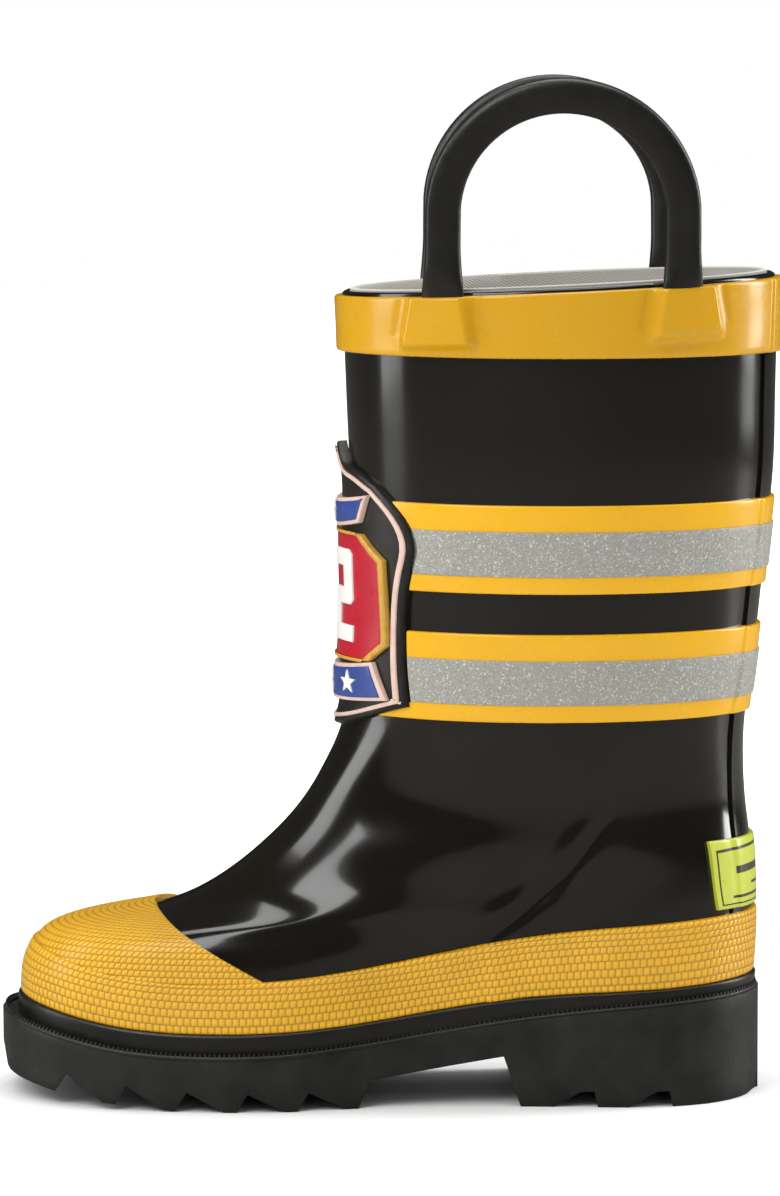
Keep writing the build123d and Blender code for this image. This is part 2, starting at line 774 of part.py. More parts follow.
# ---------------------------------------------------------------- collar, handle feet and handles
leg_places = [leg_centre_x - handle_spacing / 2, leg_centre_x + handle_spacing / 2]
hinge_z = rim_z(leg_places[1] + handle_width / 2) + hinge_clearance + handle_thickness / 2
swell_face = tab_thickness + cement_gap + tab_cover
below_collar_top = side_block(level_line(collar_bottom), rim_line(collar_drop))


def tab_outline(x, spare, top):
    """A handle tab's outline seen from the side, widened all round by `spare`."""
    z = rim_z(x, collar_drop)
    half_top, half_bottom = tab_top_width / 2 + spare, tab_bottom_width / 2 + spare
    foot = z - tab_depth - spare
    return (
        (x - half_bottom, foot),
        (x + half_bottom, foot),
        (x + half_top, z),
        (x + half_top, z + top),
        (x - half_top, z + top),
        (x - half_top, z),
    )


swell_layer = layer(cement_gap, swell_face)
swells, pockets = [], []
for side in (-1, 1):
    for x in leg_places:
        outline = side_plate(tab_outline(x, swell_margin, 0), side)
        with BuildPart() as swell:
            add(swell_layer)
            add(outline, mode=Mode.INTERSECT)
            add(below_collar_top, mode=Mode.INTERSECT)
        swells.append(swell.part)
        outline = side_plate(tab_outline(x, cement_gap, margin), side)
        with BuildPart() as pocket:
            add(form(tab_thickness + cement_gap))
            add(outline, mode=Mode.INTERSECT)
        pockets.append(pocket.part)

with BuildPart() as collar_band:
    add(layer(cement_gap, collar_thickness))
    add(below_collar_top, mode=Mode.INTERSECT)
    for swell in swells:
        add(swell)
    for pocket in pockets:
        add(pocket, mode=Mode.SUBTRACT)
keep(collar_band.part, "collar_band")

stub_drop = collar_drop - 2 * cement_gap
stub_top = hinge_z - handle_thickness / 2 - hinge_clearance
stub_back_x = leg_places[1] + handle_width
above_collar = side_plate(
    (
        (leg_front_x, rim_z(leg_front_x, stub_drop)),
        (stub_back_x, rim_z(stub_back_x, stub_drop)),
        (stub_back_x, stub_top),
        (leg_front_x, stub_top),
    )
)
below_rim = side_block(level_line(collar_bottom), rim_line(collar_drop / 2))
tab_layer = layer(cement_gap, tab_thickness)
for name, side in (("lateral", -1), ("medial", 1)):
    outlines = [side_plate(tab_outline(x, 0, margin), side) for x in leg_places]
    stubs = []
    for x in leg_places:
        with BuildPart() as stub:
            with Locations((x, side * handle_offset, hinge_z)):
                Box(handle_width, handle_thickness, 4 * margin)
            add(above_collar, mode=Mode.INTERSECT)
            add(form(cement_gap), mode=Mode.SUBTRACT)
        stubs.append(stub.part)
    with BuildPart() as feet:
        for outline in outlines:
            add(outline)
        add(tab_layer, mode=Mode.INTERSECT)
        add(below_rim, mode=Mode.INTERSECT)
        for stub in stubs:
            add(stub)
    keep(feet.part, f"{name}_handle_feet")

    lean = radians(handle_lean)
    outer = (handle_spacing + handle_width) / 2
    arch_y = handle_reach - outer
    handle_plane = Plane(
        origin=(leg_centre_x, side * handle_offset, hinge_z),
        x_dir=(1, 0, 0),
        z_dir=(0, -cos(lean), side * sin(lean)),
    )
    with BuildPart() as handle:
        with BuildSketch(handle_plane):
            with Locations((0, arch_y)):
                Circle(outer)
                Circle(outer - handle_width, mode=Mode.SUBTRACT)
            with Locations((0, arch_y - outer)):
                Rectangle(3 * outer, 2 * outer, mode=Mode.SUBTRACT)
            with Locations((-handle_spacing / 2, arch_y / 2), (handle_spacing / 2, arch_y / 2)):
                Rectangle(handle_width, arch_y)
        extrude(amount=handle_thickness / 2, both=True)
        rounded = [
            edge
            for edge in handle.edges()
            if edge.center().Z > hinge_z + 1 and abs(edge.length - handle_thickness) > 0.01
        ]
        fillet(rounded, handle_corner)
        with Locations(*[(x, side * handle_offset, hinge_z) for x in leg_places]):
            Cylinder(handle_thickness / 2, handle_width - 1, rotation=(0, 90, 0))
    keep(handle.part, f"{name}_handle")
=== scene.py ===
"""Looks of a child's rubber fire boot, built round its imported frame.

All shapes are worked out in millimetres on the boot's own form and turned to metres when a mesh is made.
Toe towards -X, outer side towards -Y, +Z up.
"""

from __future__ import annotations

import logging
import math
from dataclasses import dataclass
from enum import Enum
from typing import Callable, Optional, Sequence

import bmesh
import bpy
import numpy as np
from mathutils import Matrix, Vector

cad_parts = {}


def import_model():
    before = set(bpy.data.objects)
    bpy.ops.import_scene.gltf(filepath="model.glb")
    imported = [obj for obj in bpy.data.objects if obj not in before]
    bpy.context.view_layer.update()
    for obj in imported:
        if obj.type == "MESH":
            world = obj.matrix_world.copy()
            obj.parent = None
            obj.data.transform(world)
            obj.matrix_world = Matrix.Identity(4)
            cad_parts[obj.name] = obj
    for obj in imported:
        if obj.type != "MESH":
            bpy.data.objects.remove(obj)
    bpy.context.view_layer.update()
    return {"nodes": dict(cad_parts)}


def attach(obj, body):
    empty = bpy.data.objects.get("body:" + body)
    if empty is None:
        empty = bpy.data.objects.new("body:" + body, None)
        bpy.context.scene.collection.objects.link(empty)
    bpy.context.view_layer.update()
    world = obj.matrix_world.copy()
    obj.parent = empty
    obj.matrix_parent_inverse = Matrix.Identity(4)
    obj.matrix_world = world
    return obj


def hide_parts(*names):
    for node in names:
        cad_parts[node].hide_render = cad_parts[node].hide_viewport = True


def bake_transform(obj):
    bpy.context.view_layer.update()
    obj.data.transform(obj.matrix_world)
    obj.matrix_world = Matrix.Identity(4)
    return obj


LOG = logging.getLogger("boot")
MM = 0.001
Line = Callable[[np.ndarray], np.ndarray]
Field = Callable[[np.ndarray, np.ndarray], np.ndarray]
Swell = Callable[[np.ndarray, float], np.ndarray]
Ends = Callable[[float], tuple[float, float]]
Socket = bpy.types.NodeSocket
Ink = Socket | tuple[float, float, float]


# ---------------------------------------------------------------- the boot's sizes
@dataclass(frozen=True)
class BootSize:
    """Places and sizes shared by every piece, in millimetres."""

    toe_x: float = -92.5
    heel_x: float = 87.5
    upper_toe_x: float = -86.4
    upper_heel_x: float = 83.7
    leg_back_x: float = 90.7
    leg_front_x: float = -11.5
    ankle_z: float = 90.0
    rim_front_z: float = 190.0
    rim_back_z: float = 194.5
    collar_bottom: float = 176.0
    handle_spacing: float = 55.2
    handle_offset: float = 35.2
    hinge_z: float = 196.6
    handle_top: float = 44.0
    lean: float = math.radians(6.0)

    def rim(self, x: np.ndarray, drop: float = 0.0) -> np.ndarray:
        """Height of the rim.

        Args:
            x: places along the boot.
            drop: distance below the rim.

        Returns:
            Heights, one for each place.
        """
        slope = (self.rim_back_z - self.rim_front_z) / (self.leg_back_x - self.leg_front_x)
        return self.rim_front_z + slope * (x - self.leg_front_x) - drop

    @property
    def length(self) -> float:
        """The outsole's length."""
        return self.heel_x - self.toe_x

    @property
    def leg_centre(self) -> float:
        """Middle of the leg along X."""
        return (self.leg_front_x + self.leg_back_x) / 2


SIZE = BootSize()


class FootRow(Enum):
    """Heights along the foot: x from the toe's tip, sole's top edge, rand's height, foxing's height."""

    BEFORE = (-8.0, 20.3, 5.3, 15.0)
    TOE = (1.0, 18.8, 5.3, 13.8)
    TREAD = (23.5, 14.3, 5.3, 12.0)
    BALL = (56.5, 12.4, 5.3, 12.0)
    SHANK = (90.5, 15.0, 5.3, 13.0)
    WAIST = (117.5, 19.4, 5.3, 14.0)
    SEAT = (152.5, 23.5, 3.8, 15.4)
    HEEL = (180.0, 25.0, 3.8, 15.4)
    AFTER = (188.0, 25.2, 3.8, 15.4)


def cubic(xs: np.ndarray, ys: np.ndarray, at: np.ndarray) -> np.ndarray:
    """Natural cubic spline through points.

    Args:
        xs: rising places of the points.
        ys: values there; further axes are interpolated together.
        at: where to read the spline.

    Returns:
        Values at the places asked for.
    """
    count = len(xs)
    steps = np.diff(xs)
    system = np.zeros((count, count))
    wanted = np.zeros((count,) + ys.shape[1:])
    system[0, 0] = system[-1, -1] = 1.0
    slopes = (ys[1:] - ys[:-1]) / steps.reshape((-1,) + (1,) * (ys.ndim - 1))
    for k in range(1, count - 1):
        system[k, k - 1 : k + 2] = steps[k - 1], 2 * (steps[k - 1] + steps[k]), steps[k]
        wanted[k] = 6 * (slopes[k] - slopes[k - 1])
    bends = np.linalg.solve(system, wanted.reshape(count, -1)).reshape(ys.shape)
    place = np.clip(np.searchsorted(xs, at) - 1, 0, count - 2)
    step = steps[place].reshape((-1,) + (1,) * (ys.ndim - 1))
    left = (xs[place + 1] - at).reshape(step.shape)
    right = (at - xs[place]).reshape(step.shape)
    curve = (bends[place] * left**3 + bends[place + 1] * right**3) / (6 * step)
    return (
        curve
        + (ys[place] / step - bends[place] * step / 6) * left
        + (ys[place + 1] / step - bends[place + 1] * step / 6) * right
    )


def full_turn(count: int) -> np.ndarray:
    """Angles evenly spread over a full turn."""
    return np.arange(count) * 2 * math.pi / count


def lengths(points: np.ndarray) -> np.ndarray:
    """Distance of each point from the first one, measured along the path."""
    return np.concatenate([[0.0], np.cumsum(np.linalg.norm(np.diff(points, axis=0), axis=1))])


def closed_curve(points: np.ndarray, count: int) -> np.ndarray:
    """Smooth closed curve through points.

    Args:
        points: the points, along the first axis.
        count: number of points read from it.

    Returns:
        Points along the curve.
    """
    overlap = 4
    order = np.arange(-overlap, len(points) + overlap + 1)
    return cubic(order * 2 * math.pi / len(points), points[order % len(points)], full_turn(count))


def taper(along: float, length: float, toe: float, heel: float, power: float) -> float:
    """Share of the full width that an outline with rounded ends has.

    Args:
        along: distance from its front end.
        length: its length.
        toe: length of the rounded front end.
        heel: length of the rounded back end.
        power: fullness of the front end.

    Returns:
        The share.
    """
    if along < toe:
        return max(0.0, 1 - (1 - along / toe) ** power) ** (1 / power)
    if length - along < heel:
        return math.sqrt(max(0.0, 1 - (1 - (length - along) / heel) ** 2))
    return 1.0


def foot_line(lift: float = 0.0, rand: float = 0.0, foxing: float = 0.0) -> Line:
    """A line that follows the outsole's top edge.

    Args:
        lift: constant height above it.
        rand: how many times the rand's height to add.
        foxing: how many times the foxing's height to add.

    Returns:
        A function from x to height.
    """
    rows = np.array([row.value for row in FootRow])
    heights = rows[:, 1] + rand * rows[:, 2] + foxing * rows[:, 3] + lift

    def line(x: np.ndarray) -> np.ndarray:
        """Height at x."""
        flat = np.clip(np.ravel(x), SIZE.toe_x - 7.9, SIZE.heel_x + 7.9)
        return cubic(rows[:, 0] + SIZE.toe_x, heights, flat).reshape(np.shape(x))

    return line


def level(z: float) -> Line:
    """A level line at one height."""
    return lambda x: np.full(np.shape(x), z)


def smooth(value: np.ndarray, low: float, high: float) -> np.ndarray:
    """Rises from 0 at low to 1 at high with soft ends."""
    share = np.clip((value - low) / (high - low), 0.0, 1.0)
    return share * share * (3 - 2 * share)


def hump(value: np.ndarray, width: float) -> np.ndarray:
    """A bell of height 1 round 0."""
    return np.exp(-((value / width) ** 2))


# ---------------------------------------------------------------- the form
class BootForm:
    """The black upper's outer face, as a dense table over an angle round the boot and a level up it."""

    COUNT = 24
    FINE = 720
    PER_LEVEL = 14

    def __init__(self) -> None:
        """Works out the table of points and outward directions."""
        loops = np.array([self._loop(*row) for row in self._rows()])
        around = closed_curve(loops.transpose(1, 0, 2), self.FINE).transpose(1, 0, 2)
        self.levels = (len(loops) - 1) * self.PER_LEVEL + 1
        rise = np.linspace(0, len(loops) - 1, self.levels)
        self.points = cubic(np.arange(len(loops), dtype=float), around, rise)
        along = np.roll(self.points, -1, axis=1) - np.roll(self.points, 1, axis=1)
        up = np.gradient(self.points, axis=0)
        self.out = np.cross(along, up)
        self.out /= np.linalg.norm(self.out, axis=2, keepdims=True) + 1e-12
        self._front = None
        middle = self.points.mean(axis=1, keepdims=True)
        if ((self.points - middle) * self.out).sum() < 0:
            self.out = -self.out

    @staticmethod
    def width(x: float, ball: float, waist: float, seat: float) -> float:
        """Half width at x of an outline that swells at the ball and the seat.

        Args:
            x: place along the boot.
            ball: half width from the toe to the ball.
            waist: half width at the waist.
            seat: half width from the seat back.

        Returns:
            The half width.
        """
        ball_x, waist_x, seat_x = (SIZE.toe_x + SIZE.length * share for share in (0.33, 0.57, 0.86))
        if x <= ball_x:
            return ball
        if x >= seat_x:
            return seat
        start, end, a, b = (ball_x, waist_x, ball, waist) if x < waist_x else (waist_x, seat_x, waist, seat)
        return a + (b - a) * (1 - math.cos(math.pi * (x - start) / (end - start))) / 2

    @staticmethod
    def swing(x: float | np.ndarray) -> float | np.ndarray:
        """Sideways place of the foot's middle line at x."""
        share = (SIZE.heel_x - x) / SIZE.length
        return 22.6 * share**3 - 18.6 * share**2

    @classmethod
    def _loop(
        cls,
        front: tuple[float, float],
        back: tuple[float, float],
        widths: tuple[float, float, float],
        toe: float,
        heel: float,
        swing: float,
        power: float,
    ) -> np.ndarray:
        """Points of one closed section, from the front round the outer side to the back and home.

        Args:
            front: x and z of its front end.
            back: x and z of its back end.
            widths: half widths at the ball, the waist and the seat.
            toe: length of the rounded front end.
            heel: length of the rounded back end.
            swing: share of the foot's sideways swing.
            power: fullness of the front end.

        Returns:
            Points, one row each.
        """
        length = math.hypot(back[0] - front[0], back[1] - front[1])
        found = []
        for k in range(cls.COUNT):
            along = length * (1 - math.cos(2 * math.pi * k / cls.COUNT)) / 2
            x = front[0] + (back[0] - front[0]) * along / length
            z = front[1] + (back[1] - front[1]) * along / length
            wide = cls.width(x, *widths) * taper(along, length, toe, heel, power)
            side = 0 if k in (0, cls.COUNT // 2) else (-1 if k < cls.COUNT / 2 else 1)
            found.append((x, side * wide + swing * cls.swing(x), z))
        return np.array(found)

    @staticmethod
    def _rows() -> list[tuple]:
        """The sections, from under the foot to above the rim."""
        half = (27.7, 21.2, 23.2)
        reach = SIZE.leg_front_x - SIZE.upper_toe_x

        def foot(
            share: float,
            z: float,
            back: tuple[float, float],
            more: tuple[float, float, float],
            rounds: tuple[float, float] = (44.0, 27.0),
            swing: float = 1.0,
            power: float = 2.3,
        ) -> tuple:
            """One section of the foot.

            Args:
                share: how far its front end is from the toe towards the leg.
                z: height of its front end.
                back: how far its back end is behind the heel, and that end's height.
                more: what is added to the half widths.
                rounds: lengths of the rounded front and back ends.
                swing: share of the foot's sideways swing.
                power: fullness of the front end.

            Returns:
                What `_loop` takes.
            """
            widths = tuple(a + b for a, b in zip(half, more))
            place = (SIZE.upper_heel_x + back[0], back[1])
            return ((SIZE.upper_toe_x + share * reach, z), place, widths, *rounds, swing, power)

        rows = [
            foot(0, 4, (0, 4), (0, 0, 0)),
            foot(0, 10, (0, 10), (0, 0, 0)),
            foot(0, 16, (0, 16), (0, 0, 0)),
            foot(0, 22, (0, 22), (0, 0, 0)),
            foot(0.002, 27.5, (0.7, 27), (0, 0.3, 0.3)),
            foot(0.013, 31.5, (1.2, 32), (-0.2, 0.6, 0.6)),
            foot(0.045, 35.8, (1.5, 37), (-0.7, 0.9, 0.7)),
            foot(0.11, 38.9, (1.6, 41), (-1.9, 1.3, 0.8), swing=0.95),
            foot(0.245, 41.5, (1.6, 45), (-2.9, 1.7, 0.8), (45, 27), 0.9, 2.2),
            foot(0.42, 44.3, (1.6, 49), (-3.7, 2.1, 0.9), (50, 28), 0.8, 2.1),
            foot(0.61, 50.9, (1.4, 54), (-3.7, 2.7, 1.2), (56, 30), 0.6, 2),
            foot(0.79, 61.7, (0.9, 61), (-2.3, 4.5, 2.1), (58, 36), 0.35, 2),
            foot(0.92, 74.0, (-0.3, 71), (-0.4, 5, 3), (54, 44), 0.12, 2),
        ]
        for share in (0.0, 0.11, 0.22, 0.34, 0.46, 0.58, 0.7, 0.82, 0.92, 1.0, 1.1, 1.2):
            depth, width, back, rise = leg_station(share)
            z = SIZE.ankle_z + share * (SIZE.rim_front_z - SIZE.ankle_z)
            rows.append(((back - depth, z), (back, z + rise), (width / 2,) * 3, depth / 2, depth / 2, 0.0, 2))
        return rows

    def place(self, turn: np.ndarray, rise: np.ndarray, offset: np.ndarray | float = 0.0) -> np.ndarray:
        """Points on the form, moved outwards.

        Args:
            turn: angles round the boot from the front, over the outer side.
            rise: levels, in rows of the table.
            offset: distance outwards.

        Returns:
            Points, with a last axis of three.
        """
        a = np.mod(turn, 2 * math.pi) * self.FINE / (2 * math.pi)
        b = np.clip(rise, 0, self.levels - 1.001)
        i, j = np.floor(a).astype(int), np.floor(b).astype(int)
        fa, fb = (a - i)[..., None], (b - j)[..., None]
        i0, i1 = i % self.FINE, (i + 1) % self.FINE

        def read(table: np.ndarray) -> np.ndarray:
            """Reads a table between its rows and columns.

            Args:
                table: points or directions.

            Returns:
                Values at the places asked for.
            """
            low = table[j, i0] * (1 - fa) + table[j, i1] * fa
            high = table[j + 1, i0] * (1 - fa) + table[j + 1, i1] * fa
            return low * (1 - fb) + high * fb

        return read(self.points) + read(self.out) * np.asarray(offset)[..., None]

    def crossing(self, turn: np.ndarray, line: Field) -> np.ndarray:
        """Level at which each column of the form passes a line.

        Args:
            turn: angles round the boot.
            line: a function of x and z that rises through zero there.

        Returns:
            Levels, one for each angle.
        """
        a = np.mod(turn, 2 * math.pi) * self.FINE / (2 * math.pi)
        i = np.floor(a).astype(int)
        share = (a - i)[None, ..., None]
        column = self.points[:, i % self.FINE] * (1 - share) + self.points[:, (i + 1) % self.FINE] * share
        value = line(column[..., 0], column[..., 2])
        below = value[:-1] < 0
        crossed = below & (value[1:] >= 0)
        row = np.argmax(crossed, axis=0)
        row = np.where(crossed.any(axis=0), row, 0)
        low = np.take_along_axis(value, row[None], 0)[0]
        high = np.take_along_axis(value, row[None] + 1, 0)[0]
        return row + np.clip(-low / (high - low + 1e-12), 0, 1)

    def height(self, turn: np.ndarray, line: Line) -> np.ndarray:
        """Level at which each column reaches a line of heights."""
        return self.crossing(turn, lambda x, z: z - line(x))

    def front(self, y: np.ndarray, z: np.ndarray, offset: np.ndarray) -> np.ndarray:
        """Points on the front of the leg at given y and z, moved outwards.

        Args:
            y: places across the boot.
            z: heights.
            offset: distances outwards.

        Returns:
            Points, one row each.
        """
        if self._front is None:
            turns = np.linspace(-math.pi / 2, math.pi / 2, 361)
            heights = np.arange(80.0, 162.0, 1.0)
            levels = np.array([self.height(turns, level(height)) for height in heights])
            across = np.array([self.place(turns, row, 2.2)[:, 1] for row in levels])
            self._front = turns, heights, levels, across
        turns, heights, levels, across = self._front
        rank = np.clip((z - heights[0]) / (heights[1] - heights[0]), 0, len(heights) - 1.001)
        low = np.floor(rank).astype(int)
        share = rank - low
        places = []
        for k in range(len(y)):
            pair = [(np.interp(-y[k], -across[row], turns), row) for row in (low[k], low[k] + 1)]
            found = [(turn, np.interp(turn, turns, levels[row])) for turn, row in pair]
            places.append([found[0][j] * (1 - share[k]) + found[1][j] * share[k] for j in (0, 1)])
        places = np.array(places)
        return self.place(places[:, 0], places[:, 1], offset)

    def turn_at(self, y: float, z: float, back: bool) -> float:
        """Angle at which the form stands y to the outer side.

        Args:
            y: distance to the outer side.
            z: height.
            back: whether to look behind the boot and not in front.

        Returns:
            The angle.
        """
        turns = np.linspace(0, math.pi / 2, 181) if not back else np.linspace(math.pi, math.pi / 2, 181)
        found = self.place(turns, self.height(turns, level(z)), 0.7 if back else 2.2)
        return float(np.interp(y, -found[:, 1], turns))


def leg_station(share: float) -> tuple[float, float, float, float]:
    """Section of the leg between the ankle and the rim.

    Args:
        share: 0 at the ankle, 1 at the rim.

    Returns:
        Its depth, width, back end's x, and how much its back is higher than its front.
    """
    rows = (
        (0.0, 93.9, 60.6, 83.1, -4.0),
        (0.22, 95.4, 66.0, 86.2, 0.0),
        (0.55, 99.3, 71.6, 89.8, 2.5),
        (1.0, 102.2, 76.0, 90.7, 4.5),
        (1.2, 102.2, 76.0, 90.7, 0.0),
    )
    xs = [row[0] for row in rows]
    return tuple(float(np.interp(share, xs, [row[k] for row in rows])) for k in range(1, 5))


# ---------------------------------------------------------------- meshes
def linked(name: str, data: bpy.types.ID) -> bpy.types.Object:
    """Makes an object and links it to the scene.

    Args:
        name: name of the object.
        data: its mesh, light or camera.

    Returns:
        The object.
    """
    made = bpy.data.objects.new(name, data)
    bpy.context.scene.collection.objects.link(made)
    return made


def shaded(mesh: bpy.types.Mesh, sharp: float) -> bpy.types.Mesh:
    """Shades a mesh smooth.

    Args:
        mesh: the mesh.
        sharp: edges that turn more than this many degrees stay sharp.

    Returns:
        The same mesh.
    """
    mesh.polygons.foreach_set("use_smooth", [True] * len(mesh.polygons))
    mesh.set_sharp_from_angle(angle=math.radians(sharp))
    return mesh


def make_object(
    name: str,
    points: np.ndarray,
    faces: list[tuple[int, ...]],
    uvs: Optional[dict[int, list[tuple[float, float]]]] = None,
    sharp: float = 42.0,
) -> bpy.types.Object:
    """Makes a smooth-shaded mesh object from points in millimetres.

    Args:
        name: name of the object.
        points: rows of x, y, z.
        faces: point numbers of each face.
        uvs: UV corners of some faces, by face number.
        sharp: edges that turn more than this many degrees stay sharp.

    Returns:
        The object, linked to the scene.
    """
    mesh = bpy.data.meshes.new(name)
    mesh.from_pydata((np.asarray(points) * MM).tolist(), [], faces)
    layer = mesh.uv_layers.new(name="surface")
    for number, corners in (uvs or {}).items():
        for loop, corner in zip(mesh.polygons[number].loop_indices, corners):
            layer.data[loop].uv = corner
    shape = bmesh.new()
    shape.from_mesh(mesh)
    bmesh.ops.remove_doubles(shape, verts=shape.verts, dist=1e-7)
    bmesh.ops.recalc_face_normals(shape, faces=shape.faces)
    shape.to_mesh(mesh)
    shape.free()
    return linked(name, shaded(mesh, sharp))


def grid_object(
    name: str, rows: np.ndarray, ring: bool, uv: Optional[np.ndarray] = None, sharp: float = 42.0
) -> bpy.types.Object:
    """Makes a closed band from sections laid side by side.

    Args:
        name: name of the object.
        rows: points as [place in the section, section, xyz]; each section is a closed loop.
        ring: whether the last section meets the first.
        uv: UV in millimetres, as [place in the section, section, uv].
        sharp: angle above which edges stay sharp.

    Returns:
        The object.
    """
    height, length = rows.shape[:2]
    faces, corners = [], {}
    for i in range(length if ring else length - 1):
        after = (i + 1) % length
        for j in range(height):
            k = (j + 1) % height
            faces.append((j * length + i, j * length + after, k * length + after, k * length + i))
            if uv is not None and j + 1 < height:
                ahead = uv[:, i] + uv[:, 1] - uv[:, 0] if after == 0 else uv[:, after]
                around = uv[j, i], ahead[j], ahead[k], uv[k, i]
                corners[len(faces) - 1] = [tuple(corner) for corner in around]
    if not ring:
        faces.append(tuple(j * length for j in range(height)))
        faces.append(tuple(j * length + length - 1 for j in reversed(range(height))))
    return make_object(name, rows.reshape(-1, 3), faces, corners, sharp)


def rounded_section(inner: float, outer: float, height: float, edge: float, rows: int) -> np.ndarray:
    """Section of a strip with rounded outer corners.

    Args:
        inner: offset of the hidden face.
        outer: offset of the seen face.
        height: the strip's height.
        edge: radius of the rounded corners.
        rows: number of steps up the seen face.

    Returns:
        Rows of (share of the height, offset), round the section.
    """
    path = [(0.0, inner)]
    for k in range(4):
        turn = math.pi / 2 * k / 3
        path.append((edge * (1 - math.cos(turn)) / height, outer - edge * (1 - math.sin(turn))))
    for k in range(1, rows):
        path.append((edge / height + (1 - 2 * edge / height) * k / rows, outer))
    for k in range(4):
        turn = math.pi / 2 * (1 - k / 3)
        path.append((1 - edge * (1 - math.cos(turn)) / height, outer - edge * (1 - math.sin(turn))))
    path += [((rows - k) / rows, inner) for k in range(rows)]
    return np.array(path)


@dataclass
class Strip:
    """A strip of material laid on the form between two lines."""

    form: BootForm
    low: Line
    high: Line
    section: np.ndarray
    turns: Optional[np.ndarray] = None
    ends: Optional[Ends] = None
    columns: int = 360
    swell: Optional[Swell] = None

    def build(self, name: str, sharp: float = 42.0) -> bpy.types.Object:
        """Makes the strip.

        Args:
            name: name of the object.
            sharp: angle above which edges stay sharp.

        Returns:
            The object, with UV in millimetres along and up the strip.
        """
        ring = self.turns is None and self.ends is None
        rows, uv = [], []
        for share, offset in self.section:
            if self.ends is not None:
                middle = self.low(np.zeros(1))[0] * (1 - share) + self.high(np.zeros(1))[0] * share
                start, end = self.ends(float(middle))
                turns = np.linspace(start, end, self.columns)
            elif self.turns is not None:
                turns = self.turns
            else:
                turns = full_turn(self.columns)
            bottom = self.form.height(turns, self.low)
            top = self.form.height(turns, self.high)
            rise = bottom + (top - bottom) * share
            flat = self.form.place(turns, rise)
            more = 0.0 if self.swell is None or offset <= self.section[0][1] else self.swell(flat, share)
            rows.append(self.form.place(turns, rise, offset + more))
            tall = np.linalg.norm(self.form.place(turns, top) - self.form.place(turns, bottom), axis=1)
            uv.append(np.stack([lengths(flat), share * tall], axis=1))
        return grid_object(name, np.array(rows), ring, np.array(uv), sharp)


# ---------------------------------------------------------------- materials
@dataclass(frozen=True)
class Finish:
    """What a plain material needs."""

    name: str
    colour: tuple[float, float, float]
    roughness: float = 0.4
    metallic: float = 0.0
    sheen: float = 0.0
    coat: float = 0.0
    coat_roughness: float = 0.1
    vary: float = 0.12
    vary_size: float = 12.0
    grain: float = 0.0
    grain_size: float = 0.4


class Weave(Enum):
    """Relief pattern of a surface; RICE and KNIT also paint shade into their hollows, GLITTER paints glints.
    """

    NONE = "none"
    RICE = "rice"
    KNIT = "knit"
    GLITTER = "glitter"


